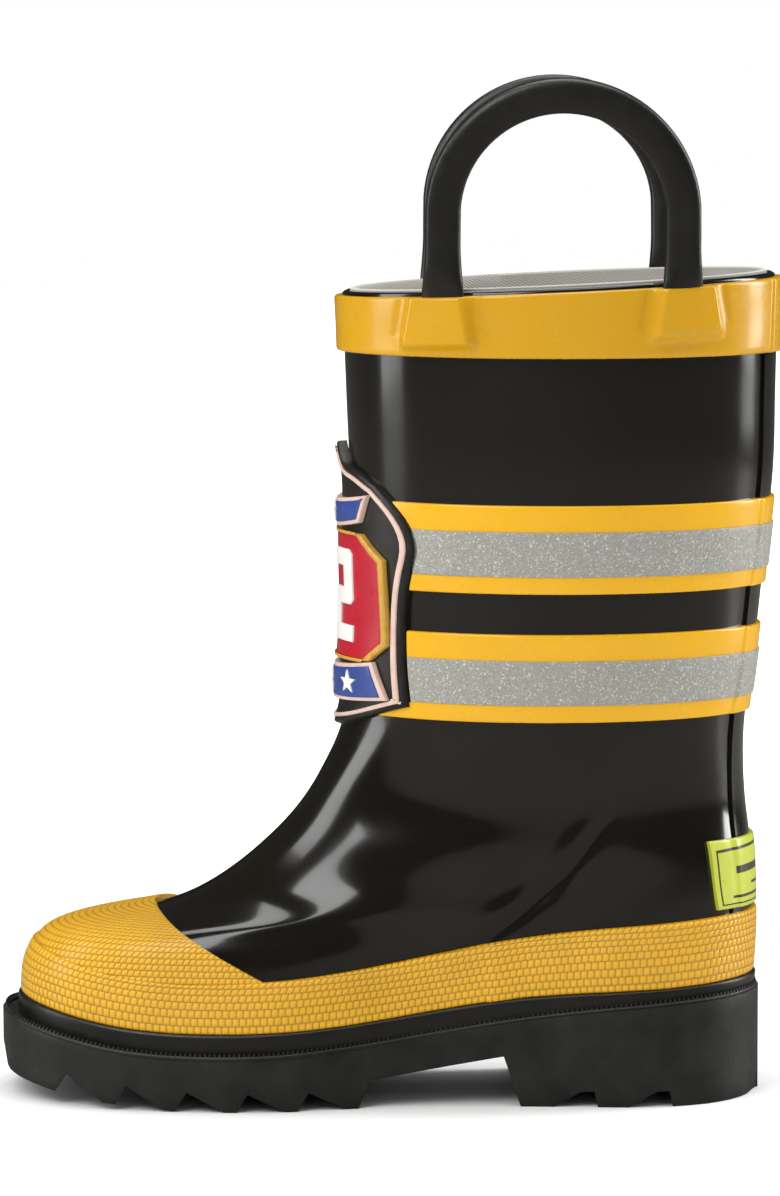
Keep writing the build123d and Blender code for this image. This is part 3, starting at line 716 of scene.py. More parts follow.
class Nodes:
    """Short way to build a material's node tree."""

    def __init__(self, name: str) -> None:
        """Starts a material with its shader and object coordinates."""
        self.material = bpy.data.materials.new(name)
        self.material.use_nodes = True
        self.tree = self.material.node_tree
        self.tree.nodes.clear()
        self.output = self.add("ShaderNodeOutputMaterial")
        self.shader = self.add("ShaderNodeBsdfPrincipled")
        self.link(self.shader.outputs[0], self.output.inputs[0])
        self.coordinates = self.add("ShaderNodeTexCoord")

    def add(self, kind: str, **settings: object) -> bpy.types.Node:
        """Adds a node.

        Args:
            kind: type of the node.
            settings: its properties.

        Returns:
            The node.
        """
        node = self.tree.nodes.new(kind)
        for key, value in settings.items():
            setattr(node, key, value)
        return node

    def link(self, source: Socket, target: Socket) -> None:
        """Joins two sockets."""
        self.tree.links.new(source, target)

    def set(self, socket: Socket, value: object) -> None:
        """Feeds a socket from another one, or sets its number or colour.

        Args:
            socket: the input.
            value: what goes in.
        """
        if isinstance(value, Socket):
            self.link(value, socket)
        else:
            socket.default_value = (*value, 1.0) if isinstance(value, tuple) else value

    def object_point(self) -> Socket:
        """Object coordinates in millimetres, centred on the boot."""
        mapping = self.add("ShaderNodeMapping")
        mapping.inputs["Scale"].default_value = (1000.0, 1000.0, 1000.0)
        mapping.inputs["Location"].default_value = (0.0, 0.0, -120.0)
        self.link(self.coordinates.outputs["Object"], mapping.inputs["Vector"])
        return mapping.outputs[0]

    def surface_point(self) -> tuple[Socket, Socket]:
        """The piece's own UV, in millimetres, as its two numbers."""
        split = self.add("ShaderNodeSeparateXYZ")
        self.link(self.add("ShaderNodeUVMap", uv_map="surface").outputs[0], split.inputs[0])
        return split.outputs[0], split.outputs[1]

    def noise(self, point: Socket, size: float, detail: float = 3.0) -> Socket:
        """Noise between 0 and 1.

        Args:
            point: where it is read.
            size: size of its features in millimetres.
            detail: number of finer layers.

        Returns:
            Its value.
        """
        node = self.add("ShaderNodeTexNoise")
        node.inputs["Scale"].default_value = 1.0 / size
        node.inputs["Detail"].default_value = detail
        self.link(point, node.inputs["Vector"])
        return node.outputs["Fac"]

    def math(self, kind: str, first: object, second: object = 0.0, clamp: bool = False) -> Socket:
        """One arithmetic step.

        Args:
            kind: the operation.
            first: a socket or a number.
            second: a socket or a number.
            clamp: whether the result is held between 0 and 1.

        Returns:
            The result.
        """
        node = self.add("ShaderNodeMath", operation=kind, use_clamp=clamp)
        self.set(node.inputs[0], first)
        self.set(node.inputs[1], second)
        return node.outputs[0]

    def wave(self, value: Socket, factor: float) -> Socket:
        """Sine of a multiple of a value."""
        return self.math("SINE", self.math("MULTIPLY", value, factor))

    def ramp(self, value: Socket, low: float, high: float, a: float, b: float) -> Socket:
        """Maps one range to another, held at the ends.

        Args:
            value: the number mapped.
            low: start of its range.
            high: end of its range.
            a: result at the start.
            b: result at the end.

        Returns:
            The result.
        """
        node = self.add("ShaderNodeMapRange", clamp=True)
        for socket, number in zip(node.inputs[1:5], (low, high, a, b)):
            socket.default_value = number
        self.link(value, node.inputs[0])
        return node.outputs[0]

    def mix(self, share: Socket, first: Ink, second: Ink) -> Socket:
        """Mixes two colours.

        Args:
            share: how much of the second one there is.
            first: colour at 0.
            second: colour at 1.

        Returns:
            The colour.
        """
        node = self.add("ShaderNodeMix", data_type="RGBA")
        self.link(share, node.inputs[0])
        self.set(node.inputs[6], first)
        self.set(node.inputs[7], second)
        return node.outputs[2]

    def bump(self, height: Socket, strength: float, distance: float) -> None:
        """Adds a relief on top of those the surface has.

        Args:
            height: height of the relief, from 0 to 1.
            strength: how much of it shows.
            distance: millimetres that a height of 1 stands for.
        """
        node = self.add("ShaderNodeBump")
        node.inputs["Strength"].default_value = strength
        node.inputs["Distance"].default_value = distance * MM
        self.link(height, node.inputs["Height"])
        if self.shader.inputs["Normal"].links:
            self.link(self.shader.inputs["Normal"].links[0].from_socket, node.inputs["Normal"])
        self.link(node.outputs[0], self.shader.inputs["Normal"])


def tint(colour: Sequence[float], factor: float) -> tuple[float, float, float]:
    """A colour made lighter or darker."""
    return tuple(min(1.0, channel * factor) for channel in colour)


def material(finish: Finish, weave: Weave = Weave.NONE, pitch: tuple[float, float] = (1.0, 1.0)) -> Nodes:
    """Builds a material from a finish and a relief pattern.

    Args:
        finish: colours and gloss.
        weave: relief pattern.
        pitch: the pattern's steps along and up the surface, in millimetres.

    Returns:
        The node helper that holds the material.
    """
    nodes = Nodes(finish.name)
    shader = nodes.shader
    shader.inputs["Metallic"].default_value = finish.metallic
    shader.inputs["Sheen Weight"].default_value = finish.sheen
    shader.inputs["Coat Weight"].default_value = finish.coat
    shader.inputs["Coat Roughness"].default_value = finish.coat_roughness
    point = nodes.object_point()
    cloud = nodes.noise(point, finish.vary_size)
    dark, light = tint(finish.colour, 1 - finish.vary), tint(finish.colour, 1 + finish.vary)
    colour = nodes.mix(nodes.ramp(cloud, 0.3, 0.7, 0.0, 1.0), dark, light)
    wear = nodes.noise(point, finish.vary_size * 0.22, 6.0)
    rough = nodes.ramp(wear, 0.3, 0.75, finish.roughness * 0.82, finish.roughness * 1.25)
    if weave is Weave.RICE:
        along, up = nodes.surface_point()
        row = nodes.math("DIVIDE", up, pitch[1])
        odd = nodes.math("MULTIPLY", nodes.math("MODULO", nodes.math("FLOOR", row), 2.0), 0.5)
        grain = nodes.math("ADD", nodes.math("DIVIDE", along, pitch[0]), odd)
        across = nodes.math("POWER", nodes.math("ABSOLUTE", nodes.wave(row, math.pi)), 0.6)
        grains = nodes.math("POWER", nodes.math("ABSOLUTE", nodes.wave(grain, math.pi)), 0.5)
        height = nodes.math("MULTIPLY", across, grains)
        nodes.bump(height, 1.0, 0.38)
        # Painted shade: the grooves between the grains are coloured darker than the raised grains.
        painted_groove_shade = nodes.mix(cloud, tint(dark, 0.62), tint(dark, 0.7))
        colour = nodes.mix(nodes.ramp(height, 0.1, 0.65, 0.0, 1.0), painted_groove_shade, colour)
    elif weave is Weave.KNIT:
        along, up = nodes.surface_point()
        loops, rows = nodes.wave(along, 2 * math.pi / pitch[0]), nodes.wave(up, 2 * math.pi / pitch[1])
        height = nodes.math("MULTIPLY", loops, rows)
        nodes.bump(height, 0.8, 0.12)
        # Painted shade: the low parts of the knit are coloured darker than the raised loops.
        colour = nodes.mix(nodes.ramp(height, -0.6, 0.6, 0.0, 1.0), tint(finish.colour, 0.72), colour)
    elif weave is Weave.GLITTER:
        cells = nodes.add("ShaderNodeTexVoronoi")
        cells.inputs["Scale"].default_value = 1.0 / pitch[0]
        nodes.link(point, cells.inputs["Vector"])
        split = nodes.add("ShaderNodeSeparateColor")
        nodes.link(cells.outputs["Color"], split.inputs[0])
        # Painted glints: the brightest cells are coloured towards near white; the other cells vary at random
        # in tone.
        painted_glint = nodes.ramp(split.outputs[0], 0.86, 1.0, 0.0, 0.55)
        shade = nodes.mix(split.outputs[1], tint(finish.colour, 0.86), tint(finish.colour, 1.14))
        colour = nodes.mix(painted_glint, shade, (0.93, 0.93, 0.86))
        rough = nodes.ramp(split.outputs[2], 0.0, 1.0, finish.roughness * 0.7, finish.roughness * 1.4)
        nodes.bump(split.outputs[0], 0.6, 0.07)
    if finish.grain:
        nodes.bump(nodes.noise(point, finish.grain_size, 4.0), finish.grain, 0.12)
    nodes.link(colour, shader.inputs["Base Color"])
    nodes.link(rough, shader.inputs["Roughness"])
    nodes.colour = colour
    return nodes


class Palette:
    """All the boot's materials."""

    YELLOW = (0.72, 0.375, 0.004)

    def __init__(self) -> None:
        """Builds every material once."""
        varnish = {"vary": 0.03, "vary_size": 26.0, "grain": 0.03, "grain_size": 1.6}
        grained = {"coat": 0.3, "coat_roughness": 0.25, "vary": 0.06}
        self.gloss_black = self._look(
            "gloss_black_rubber", (0.0062, 0.0056, 0.0036), 0.16,
            coat=0.5, coat_roughness=0.08, vary=0.2, vary_size=45.0, grain=0.05, grain_size=2.2,
        )
        self.satin_black = self._look(
            "satin_black_rubber", (0.0085, 0.0078, 0.0056), 0.4,
            coat=0.15, coat_roughness=0.25, vary=0.2, grain=0.25, grain_size=0.5,
        )
        self.sole_black = self._look(
            "sole_black_rubber", (0.0135, 0.0132, 0.0105), 0.5,
            vary=0.3, vary_size=9.0, grain=0.5, grain_size=0.45,
        )
        self.yellow = self._look(
            "glossy_yellow_rubber", self.YELLOW, 0.26, coat=0.3, coat_roughness=0.12, **varnish
        )
        # Painted shade: the bands' yellow rubber made darker for the collar.
        self.collar = self._look(
            "collar_painted_shade_yellow_rubber", (0.56, 0.29, 0.003), 0.26, coat=0.25, coat_roughness=0.14, **varnish
        )
        self.rice_yellow = self._look(
            "grained_yellow_rubber", self.YELLOW, 0.36, Weave.RICE, (1.6, 1.75), **grained
        )
        self.row_yellow = self._look(
            "ribbed_yellow_rubber", self.YELLOW, 0.36, Weave.RICE, (1.5, 1.5), **grained
        )
        self.tape = self._look(
            "reflective_tape", (0.33, 0.325, 0.29), 0.42, Weave.GLITTER, (0.3, 0.3), metallic=0.2, vary=0.08
        )
        self.red = self._look("red_relief", (0.42, 0.003, 0.018), 0.3, coat=0.2, vary=0.06, grain=0.1)
        self.gold = self._look(
            "gold_relief", (0.55, 0.31, 0.05), 0.34, metallic=0.15, vary=0.18, vary_size=2.5, grain=0.3
        )
        self.white = self._look("white_relief", (0.72, 0.7, 0.66), 0.38, vary=0.05, grain=0.1)
        self.blue = self._look(
            "blue_relief", (0.024, 0.055, 0.24), 0.32, coat=0.2, vary=0.12, vary_size=4.0, grain=0.12
        )
        self.peach = self._look("pale_piping", (0.62, 0.44, 0.37), 0.4, vary=0.08, vary_size=4.0)
        self.lining = self._look("lining_knit", (0.5, 0.48, 0.43), 0.85, Weave.KNIT, (0.9, 0.7), sheen=0.4)
        self.insole = self._look(
            "insole_cloth", (0.4, 0.39, 0.36), 0.9, Weave.KNIT, (1.1, 1.1), sheen=0.3, vary=0.1
        )
        self.hidden = self._look("inner_stiffening", (0.12, 0.1, 0.08), 0.8)
        self.lime = self._label()
        self.floor = self._floor()

    @staticmethod
    def _look(
        name: str,
        colour: tuple[float, float, float],
        roughness: float,
        weave: Weave = Weave.NONE,
        pitch: tuple[float, float] = (1.0, 1.0),
        **more: float,
    ) -> bpy.types.Material:
        """Builds one material; `more` holds the rest of its finish."""
        return material(Finish(name, colour, roughness, **more), weave, pitch).material

    @staticmethod
    def _floor() -> bpy.types.Material:
        """White floor that shows only dimly in glossy reflections, as under dark flags."""
        nodes = material(Finish("studio_white", (0.93, 0.93, 0.93), 0.6, vary=0.004, vary_size=400.0))
        rays = nodes.add("ShaderNodeLightPath")
        colour = nodes.mix(rays.outputs["Is Glossy Ray"], nodes.colour, (0.16, 0.155, 0.14))
        nodes.link(colour, nodes.shader.inputs["Base Color"])
        reach = nodes.add("ShaderNodeVectorMath", operation="LENGTH")
        nodes.link(nodes.coordinates.outputs["Object"], reach.inputs[0])
        far = nodes.ramp(reach.outputs["Value"], 0.2, 0.75, 0.0, 1.0)
        nodes.shader.inputs["Emission Color"].default_value = (1.0, 1.0, 1.0, 1.0)
        glow = nodes.math("MULTIPLY", far, rays.outputs["Is Camera Ray"])
        nodes.link(glow, nodes.shader.inputs["Emission Strength"])
        return nodes.material

    @staticmethod
    def _label() -> bpy.types.Material:
        """Lime rubber with a dark inset border and plain printed bars in place of words."""
        lime = (0.47, 0.52, 0.05)
        nodes = material(Finish("lime_label", lime, 0.32, coat=0.3, vary=0.05, grain=0.06, grain_size=0.8))
        along, up = nodes.surface_point()
        half_long, half_tall = 22.3, 8.2
        x = nodes.math("ABSOLUTE", nodes.math("SUBTRACT", along, half_long))
        y = nodes.math("ABSOLUTE", nodes.math("SUBTRACT", up, half_tall))

        def within(margin: float) -> Socket:
            """1 inside the label's outline drawn in by a margin."""
            flat = nodes.math("LESS_THAN", x, half_long - margin)
            return nodes.math("MULTIPLY", flat, nodes.math("LESS_THAN", y, half_tall - margin))

        ink = nodes.math("SUBTRACT", within(1.3), within(1.8))
        for low, high, reach in ((10.0, 11.6, 15.0), (6.6, 7.4, 9.0), (3.3, 4.2, 17.0)):
            above, below = nodes.math("GREATER_THAN", up, low), nodes.math("LESS_THAN", up, high)
            tall = nodes.math("MULTIPLY", above, below)
            bar = nodes.math("MULTIPLY", tall, nodes.math("LESS_THAN", x, reach))
            ink = nodes.math("ADD", ink, bar, True)
        colour = nodes.mix(ink, nodes.colour, (0.045, 0.04, 0.02))
        nodes.link(colour, nodes.shader.inputs["Base Color"])
        return nodes.material


def finish_piece(
    piece: bpy.types.Object, look: bpy.types.Material, slot: str, *nodes: str, body: str = "boot"
) -> bpy.types.Object:
    """Gives a piece its material and ties it to the frame.

    Args:
        piece: the object.
        look: its material.
        slot: the record's material slot, not used.
        nodes: CAD nodes that it stands for.
        body: the body it moves with, or nothing to leave it untied.

    Returns:
        The same piece.
    """
    piece.data.materials.clear()
    piece.data.materials.append(look)
    if body:
        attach(piece, body)
    if nodes:
        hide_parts(*nodes)
    LOG.info("built %s: %d faces", piece.name, len(piece.data.polygons))
    return piece


# ---------------------------------------------------------------- sole
@dataclass
class Sole:
    """Outsole with its tread, the knurled welt, the rand and the foxing."""

    form: BootForm
    palette: Palette
    half_ball: float = 32.5
    half_waist: float = 24.5
    half_heel: float = 27.0
    toe_round: float = 46.0
    heel_round: float = 28.0
    draft: float = 1.2
    spring: float = 5.5
    tooth_pitch: float = 14.2
    tooth_depth: float = 4.3
    draft_height: float = 25.0
    edge_rounding: float = 0.45
    knurl_pitch: float = 1.15
    rib_height: float = 1.15
    rib_top: float = 0.22
    rib_bottom: float = 0.5
    bead_radius: float = 0.55

    def outline(self, inset: float, count: int = 480) -> np.ndarray:
        """The outsole's outline seen from above.

        Args:
            inset: how far it is drawn in.
            count: number of points.

        Returns:
            Points as x and y, from the toe round the outer side.
        """
        knots = []
        for k in range(24):
            length = SIZE.length - 2 * inset
            along = length * (1 - math.cos(math.pi * k / 12)) / 2
            x = SIZE.toe_x + inset + along
            wide = BootForm.width(x, self.half_ball, self.half_waist, self.half_heel) - inset
            wide *= taper(along, length, self.toe_round - inset, self.heel_round - inset, 2.4)
            side = 0 if k in (0, 12) else (-1 if k < 12 else 1)
            knots.append((x, side * wide + BootForm.swing(x)))
        return closed_curve(np.array(knots), count)

    def tread(self) -> list[tuple[float, float]]:
        """The tread's profile from the toe to the heel, as x and z."""
        toe, heel = SIZE.toe_x, SIZE.heel_x
        path = [(toe - 3, self.spring + 6), (toe, self.spring + 6), (toe + 1.4, self.spring)]
        for tooth in range(6):
            reach = 14.0 + tooth * self.tooth_pitch
            lift = self.spring * max(0.0, 1 - reach / 54) ** 1.8
            if tooth:
                path.append((toe + reach - 2.8, lift + 0.1))
            path.append((toe + reach, lift))
            if tooth < 5:
                path.append((toe + reach + 2.7, lift + self.tooth_depth))
        path.append((toe + 14 + 5 * self.tooth_pitch + 2.7, 6.4))
        front = heel - 57
        path += [(front - 4, 11.9), (front, 0)]
        for mouth in (front + 7.5, front + 25.1):
            path += [(mouth, 0), (mouth + 6.8, 3.7), (mouth + 9.7, 3.7), (mouth + 10.5, 0)]
        path += [(heel - 1.5, 0), (heel + 3, 0)]
        return path

    def build_outsole(self) -> bpy.types.Object:
        """Makes the outsole from slices across the boot, and rounds its edges."""
        tread = self.tread()
        kinks = [x for x, _ in tread if SIZE.toe_x < x < SIZE.heel_x]
        ends = [SIZE.toe_x + SIZE.length * (1 - math.cos(math.pi * k / 70)) / 2 for k in range(71)]
        between = {x for x in ends if min(abs(x - kink) for kink in kinks) > 0.8}
        places = np.array(sorted(set(kinks) | between))
        floor = np.interp(places, [x for x, _ in tread], [z for _, z in tread])
        roof = foot_line()(places)
        full, drawn = self.outline(0.0), self.outline(self.draft)
        rows = []
        for k, x in enumerate(places):
            heights = np.linspace(floor[k], roof[k], 7)
            sides = []
            for side in (-1, 1):
                reach = []
                for shape in (drawn, full):
                    half = shape[:240] if side < 0 else shape[240:]
                    order = np.argsort(half[:, 0])
                    reach.append(float(np.interp(x, half[order, 0], half[order, 1])))
                sides.append(reach)
            ring = []
            for (drawn_y, full_y), climb in zip(sides, (heights, heights[::-1])):
                for z in climb:
                    share = min(1.0, z / self.draft_height)
                    ring.append((x, drawn_y * (1 - share) + full_y * share, z))
            rows.append(ring)
        rows = np.array(rows).transpose(1, 0, 2)
        made = grid_object("outsole_rubber", rows, False, sharp=30.0)
        bevel = made.modifiers.new("rounding", "BEVEL")
        bevel.width = self.edge_rounding * MM
        bevel.segments = 2
        bevel.limit_method = "ANGLE"
        bevel.angle_limit = math.radians(24)
        return bake(made)

    def knurl(self) -> bpy.types.Object:
        """Makes the welt as a row of small ribs set along the outsole's edge by a node tree."""
        path = self.outline(0.85, 720)
        heights = foot_line(0.3)(path[:, 0])
        curve = bpy.data.meshes.new("welt_path")
        count = len(path)
        points = [(x * MM, y * MM, z * MM) for (x, y), z in zip(path, heights)]
        curve.from_pydata(points, [(k, (k + 1) % count) for k in range(count)], [])
        made = linked("welt_knurl", curve)
        tree = bpy.data.node_groups.new("welt_knurl", "GeometryNodeTree")
        face = tree.interface
        face.new_socket("Geometry", in_out="INPUT", socket_type="NodeSocketGeometry")
        pitch = face.new_socket("Pitch", in_out="INPUT", socket_type="NodeSocketFloat")
        height = face.new_socket("Rib height", in_out="INPUT", socket_type="NodeSocketFloat")
        look = face.new_socket("Material", in_out="INPUT", socket_type="NodeSocketMaterial")
        face.new_socket("Geometry", in_out="OUTPUT", socket_type="NodeSocketGeometry")
        start, end, to_curve, resample, rib, place, tangent, align, circle, bead, join, real, paint = (
            tree.nodes.new(kind)
            for kind in (
                "NodeGroupInput", "NodeGroupOutput", "GeometryNodeMeshToCurve", "GeometryNodeResampleCurve",
                "GeometryNodeMeshCone", "GeometryNodeInstanceOnPoints", "GeometryNodeInputTangent",
                "FunctionNodeAlignEulerToVector", "GeometryNodeCurvePrimitiveCircle",
                "GeometryNodeCurveToMesh", "GeometryNodeJoinGeometry",
                "GeometryNodeRealizeInstances", "GeometryNodeSetMaterial",
            )
        )
        resample.mode, circle.mode, align.axis = "LENGTH", "RADIUS", "X"
        for node, socket, value in (
            (rib, "Vertices", 6),
            (rib, "Radius Top", self.rib_top * MM),
            (rib, "Radius Bottom", self.rib_bottom * MM),
            (circle, "Resolution", 10),
            (circle, "Radius", self.bead_radius * MM),
        ):
            node.inputs[socket].default_value = value
        for source, leaving, target, entering in (
            (start, "Geometry", to_curve, "Mesh"),
            (to_curve, "Curve", resample, "Curve"),
            (start, "Pitch", resample, "Length"),
            (start, "Rib height", rib, "Depth"),
            (tangent, 0, align, "Vector"),
            (resample, "Curve", place, "Points"),
            (rib, "Mesh", place, "Instance"),
            (align, 0, place, "Rotation"),
            (to_curve, "Curve", bead, "Curve"),
            (circle, "Curve", bead, "Profile Curve"),
            (place, "Instances", join, "Geometry"),
            (bead, "Mesh", join, "Geometry"),
            (join, "Geometry", real, "Geometry"),
            (real, "Geometry", paint, "Geometry"),
            (start, "Material", paint, "Material"),
            (paint, "Geometry", end, "Geometry"),
        ):
            tree.links.new(source.outputs[leaving], target.inputs[entering])
        modifier = made.modifiers.new("knurl", "NODES")
        modifier.node_group = tree
        modifier[pitch.identifier] = self.knurl_pitch * MM
        modifier[height.identifier] = self.rib_height * MM
        modifier[look.identifier] = self.palette.sole_black
        return bake(made)

    def build(self) -> None:
        """Makes and dresses every piece of the sole."""
        palette = self.palette
        finish_piece(self.build_outsole(), palette.sole_black, "sole_rubber", "outsole")
        finish_piece(self.knurl(), palette.sole_black, "sole_rubber", "welt_strip")
        section = rounded_section(-0.4, 2.3, 5.2, 0.8, 4)
        rand = Strip(self.form, foot_line(0.0), foot_line(0.25, 1), section, columns=480)
        finish_piece(rand.build("rand_rubber"), palette.satin_black, "black_rubber", "rand_strip")

        def lap(points: np.ndarray, share: float) -> np.ndarray:
            """The foxing's overlapped end on the outer side, and its slight unevenness.

            Args:
                points: places on the form.
                share: share of the strip's height, not used.

            Returns:
                Extra offsets.
            """
            x, y = points[:, 0], points[:, 1]
            outer_side = (y < 0) * 1.0
            step = smooth(x, 22.6, 23.2) * (1 - smooth(x, 24.0, 31.0)) * 0.55 * outer_side
            return step + 0.06 * np.sin(x / 5.3) * np.sin(x / 3.1 + y / 7.0)

        section = rounded_section(-0.3, 1.8, 13.5, 0.7, 9)
        foxing = Strip(
            self.form, foot_line(0.15, 1), foot_line(0.0, 1, 1), section, columns=720, swell=lap
        )
        made = foxing.build("foxing_rubber")
        finish_piece(made, palette.rice_yellow, "yellow_textured_rubber", "foxing_strip")


def bake(made: bpy.types.Object) -> bpy.types.Object:
    """Turns an object's modifiers into plain mesh.

    Args:
        made: the object.

    Returns:
        The same object.
    """
    graph = bpy.context.evaluated_depsgraph_get()
    mesh = bpy.data.meshes.new_from_object(made.evaluated_get(graph))
    made.modifiers.clear()
    made.data = shaded(mesh, 38)
    return made


# ---------------------------------------------------------------- upper
@dataclass
class Upper:
    """The black rubber leg and foot, toe cap, back stay, heel label, lining and insole."""

    form: BootForm
    palette: Palette
    seam_depth: float = 0.4
    crease_depth: float = 0.75
    crease_start: tuple[float, float] = (12.0, 33.0)
    crease_run: tuple[float, float] = (40.0, 36.0)
    stay_half: float = 12.5
    label_half: float = 18.4
    wall: float = 1.6
    shell_columns: int = 432
    outer_rows: int = 156
    inner_rows: int = 32
    cap_half_turn: float = 1.36

    def relief(self, points: np.ndarray) -> np.ndarray:
        """Height of the creases, the front seam and the soft waviness.

        Args:
            points: places on the form.

        Returns:
            Heights over the form.
        """
        x, y, z = points[..., 0], points[..., 1], points[..., 2]
        total = 0.12 * np.sin(z / 13.0 + x / 19.0) * np.sin(x / 23.0 + y / 17.0)
        instep = (x < -5) * smooth(z, 30, 42) * (1 - smooth(z, 76, 86))
        total -= self.seam_depth * hump(y + 2.6, 0.55) * instep
        total += 0.25 * hump(y + 1.2, 1.1) * instep
        start_x, start_z = self.crease_start
        run_x, run_z = self.crease_run
        run = ((x - start_x) * run_x + (z - start_z) * run_z) / (run_x**2 + run_z**2)
        bow = 3.5 * np.sin(np.clip(run, 0, 1) * math.pi)
        away = ((z - start_z) * run_x - (x - start_x) * run_z) / math.hypot(run_x, run_z) + bow
        crease = 0.8 * hump(away - 3.4, 2.4) + 0.35 * hump(away + 4.2, 3.0) - hump(away, 1.5)
        crease *= smooth(run, -0.05, 0.55) * (1 - smooth(run, 0.8, 1.08))
        ankle = hump(z - 62, 16.0) * hump(x - 28, 22.0)
        for side, strength in ((-1, 1.0), (1, 0.7)):
            total += strength * (self.crease_depth * crease - 0.5 * ankle) * (y * side > 0)
        return total

    def build_shell(self) -> bpy.types.Object:
        """Makes the black rubber from the sole to the rolled rim and a little way down inside."""
        turns = full_turn(self.shell_columns)
        low = self.form.height(turns, foot_line(0.5))
        high = self.form.height(turns, lambda x: SIZE.rim(x, 0.9))
        rows = []
        for share in np.linspace(0, 1, self.outer_rows):
            rise = low + (high - low) * share
            flat = self.form.place(turns, rise)
            rows.append(self.form.place(turns, rise, self.relief(flat)))
        for inward, up in ((0.25, 0.55), (0.9, 0.9), (1.55, 0.55), (1.8, 0.0)):
            rise = self.form.height(turns, lambda x: SIZE.rim(x, 0.9 - up))
            rows.append(self.form.place(turns, rise, -inward))
        for share in np.linspace(0.98, 0, self.inner_rows):
            rise = low + (high - low) * share
            relief = np.minimum(self.relief(self.form.place(turns, rise)), 0.0)
            rows.append(self.form.place(turns, rise, relief - self.wall))
        return grid_object("upper_rubber", np.array(rows), True)

    def build_cap(self) -> bpy.types.Object:
        """Makes the toe cap, from the foxing's top edge back to its sloping cut edge."""

        def edge(x: np.ndarray, z: np.ndarray) -> np.ndarray:
            """Rises through zero at the cap's rear edge."""
            return x - np.interp(z, [29.7, 44.5], [-29.0, -56.0])

        turns = np.linspace(-self.cap_half_turn, self.cap_half_turn, 481)
        low = self.form.height(turns, foot_line(-0.3, 1, 1))
        high = np.maximum(self.form.crossing(turns, edge), low + 0.02)
        section = rounded_section(-0.25, 1.3, 26.0, 0.55, 40)
        ruler, along = lengths(self.form.points[:, 90]), lengths(self.form.place(turns, low))
        rows, uv = [], []
        for share, offset in section:
            rise = low + (high - low) * share
            rows.append(self.form.place(turns, rise, offset))
            uv.append(np.stack([along, np.interp(rise, np.arange(len(ruler)), ruler)], axis=1))
        return grid_object("toe_cap_rubber", np.array(rows), False, np.array(uv))

    def build(self) -> None:
        """Makes and dresses every piece of the upper."""
        palette, form = self.palette, self.form
        shell = self.build_shell()
        finish_piece(shell, palette.gloss_black, "black_gloss_rubber", "lateral_upper", "medial_upper")
        finish_piece(self.build_cap(), palette.row_yellow, "yellow_textured_rubber", "toe_cap")

        turn = (form.turn_at(self.stay_half, 60.0, True) + form.turn_at(self.stay_half, 150.0, True)) / 2
        section = rounded_section(-0.3, 0.7, 132.0, 0.3, 60)
        stay = Strip(
            form, foot_line(-0.5, 1, 1), level(SIZE.collar_bottom + 1), section,
            turns=np.linspace(turn, 2 * math.pi - turn, 41),
        )
        finish_piece(stay.build("back_stay_rubber"), palette.gloss_black, "black_gloss_rubber", "back_stay")

        def behind(z: float) -> tuple[float, float]:
            """Angles of the label's two ends at one height."""
            turn = form.turn_at(self.label_half, z, True)
            return turn, 2 * math.pi - turn

        def over_stay(points: np.ndarray, share: float) -> np.ndarray:
            """Lifts the label where it passes over the stay."""
            return 0.5 * (1 - smooth(np.abs(points[:, 1]), 12.2, 13.6))

        section = rounded_section(-0.2, 1.2, 16.4, 0.45, 10)
        label = Strip(form, level(45.2), level(61.4), section, ends=behind, columns=90, swell=over_stay)
        finish_piece(label.build("heel_label_rubber"), palette.lime, "label_rubber", "heel_label")
        seen, hidden = [(k / 60, -3.35) for k in range(60)], [(k / 60, -1.95) for k in range(59, -1, -1)]
        section = np.array([*seen, (0.9975, -3.3), (1.0, -2.9), (1.0, -2.3), (0.9985, -1.95), *hidden])
        lining = Strip(form, foot_line(3.7), lambda x: SIZE.rim(x, -0.6), section, columns=240)
        finish_piece(lining.build("lining_cloth"), palette.lining, "lining_fabric", "lining")
        insole = finish_piece(self.build_insole(), palette.insole, "insole_fabric", "insole")

    def build_insole(self) -> bpy.types.Object:
        """Makes the loose insole as a cushioned sheet that follows the boot's floor."""
        turns = full_turn(160)
        floor, top = foot_line(3.75), foot_line(7.0)
        outer = self.form.place(turns, self.form.height(turns, floor), -3.5)
        rows, uv = [], []
        axis_x = np.clip(outer[:, 0], -62, 66)
        axis_y = BootForm.swing(axis_x)
        under = ((0.0, 0), (0.55, 0), (0.98, 0), (1.0, 0.12), (1.0, 0.8))
        for share, lift in (*under, (0.985, 1), (0.95, 1), (0.7, 1), (0.4, 1), (0.0, 1)):
            x = axis_x + (outer[:, 0] - axis_x) * share
            y = axis_y + (outer[:, 1] - axis_y) * share
            z = floor(x) * (1 - lift) + (top(x) - 0.8 * (1 - share)) * lift
            rows.append(np.stack([x, y, z], axis=1))
            uv.append(np.stack([x + 200, y + 200], axis=1))
        return grid_object("insole_cloth", np.array(rows), True, np.array(uv))


# ---------------------------------------------------------------- shield
class ShieldShape(Enum):
    """Half outlines of the shield, from the bottom middle to the tip, as y and z, one curve for each member.
    """

    BOTTOM = ((0.0, 87.0), (12.4, 89.1), (24.8, 94.0))
    SIDE = (
        (24.8, 94.0), (25.2, 119.0), (26.4, 126.0), (27.3, 131.0), (26.9, 135.0), (23.7, 141.3), (19.7, 145.3)
    )
    TOP = ((19.7, 145.3), (12.3, 148.3), (5.5, 150.0), (2.2, 152.5), (0.0, 154.5))


def curve_through(points: Sequence[tuple[float, float]], steps: int) -> np.ndarray:
    """Smooth curve through points.

    Args:
        points: places that it passes.
        steps: number of points read from it.

    Returns:
        Points along the curve.
    """
    ring = np.array(points, dtype=float)
    knots = lengths(ring)
    return cubic(knots, ring, np.linspace(0, knots[-1], steps))


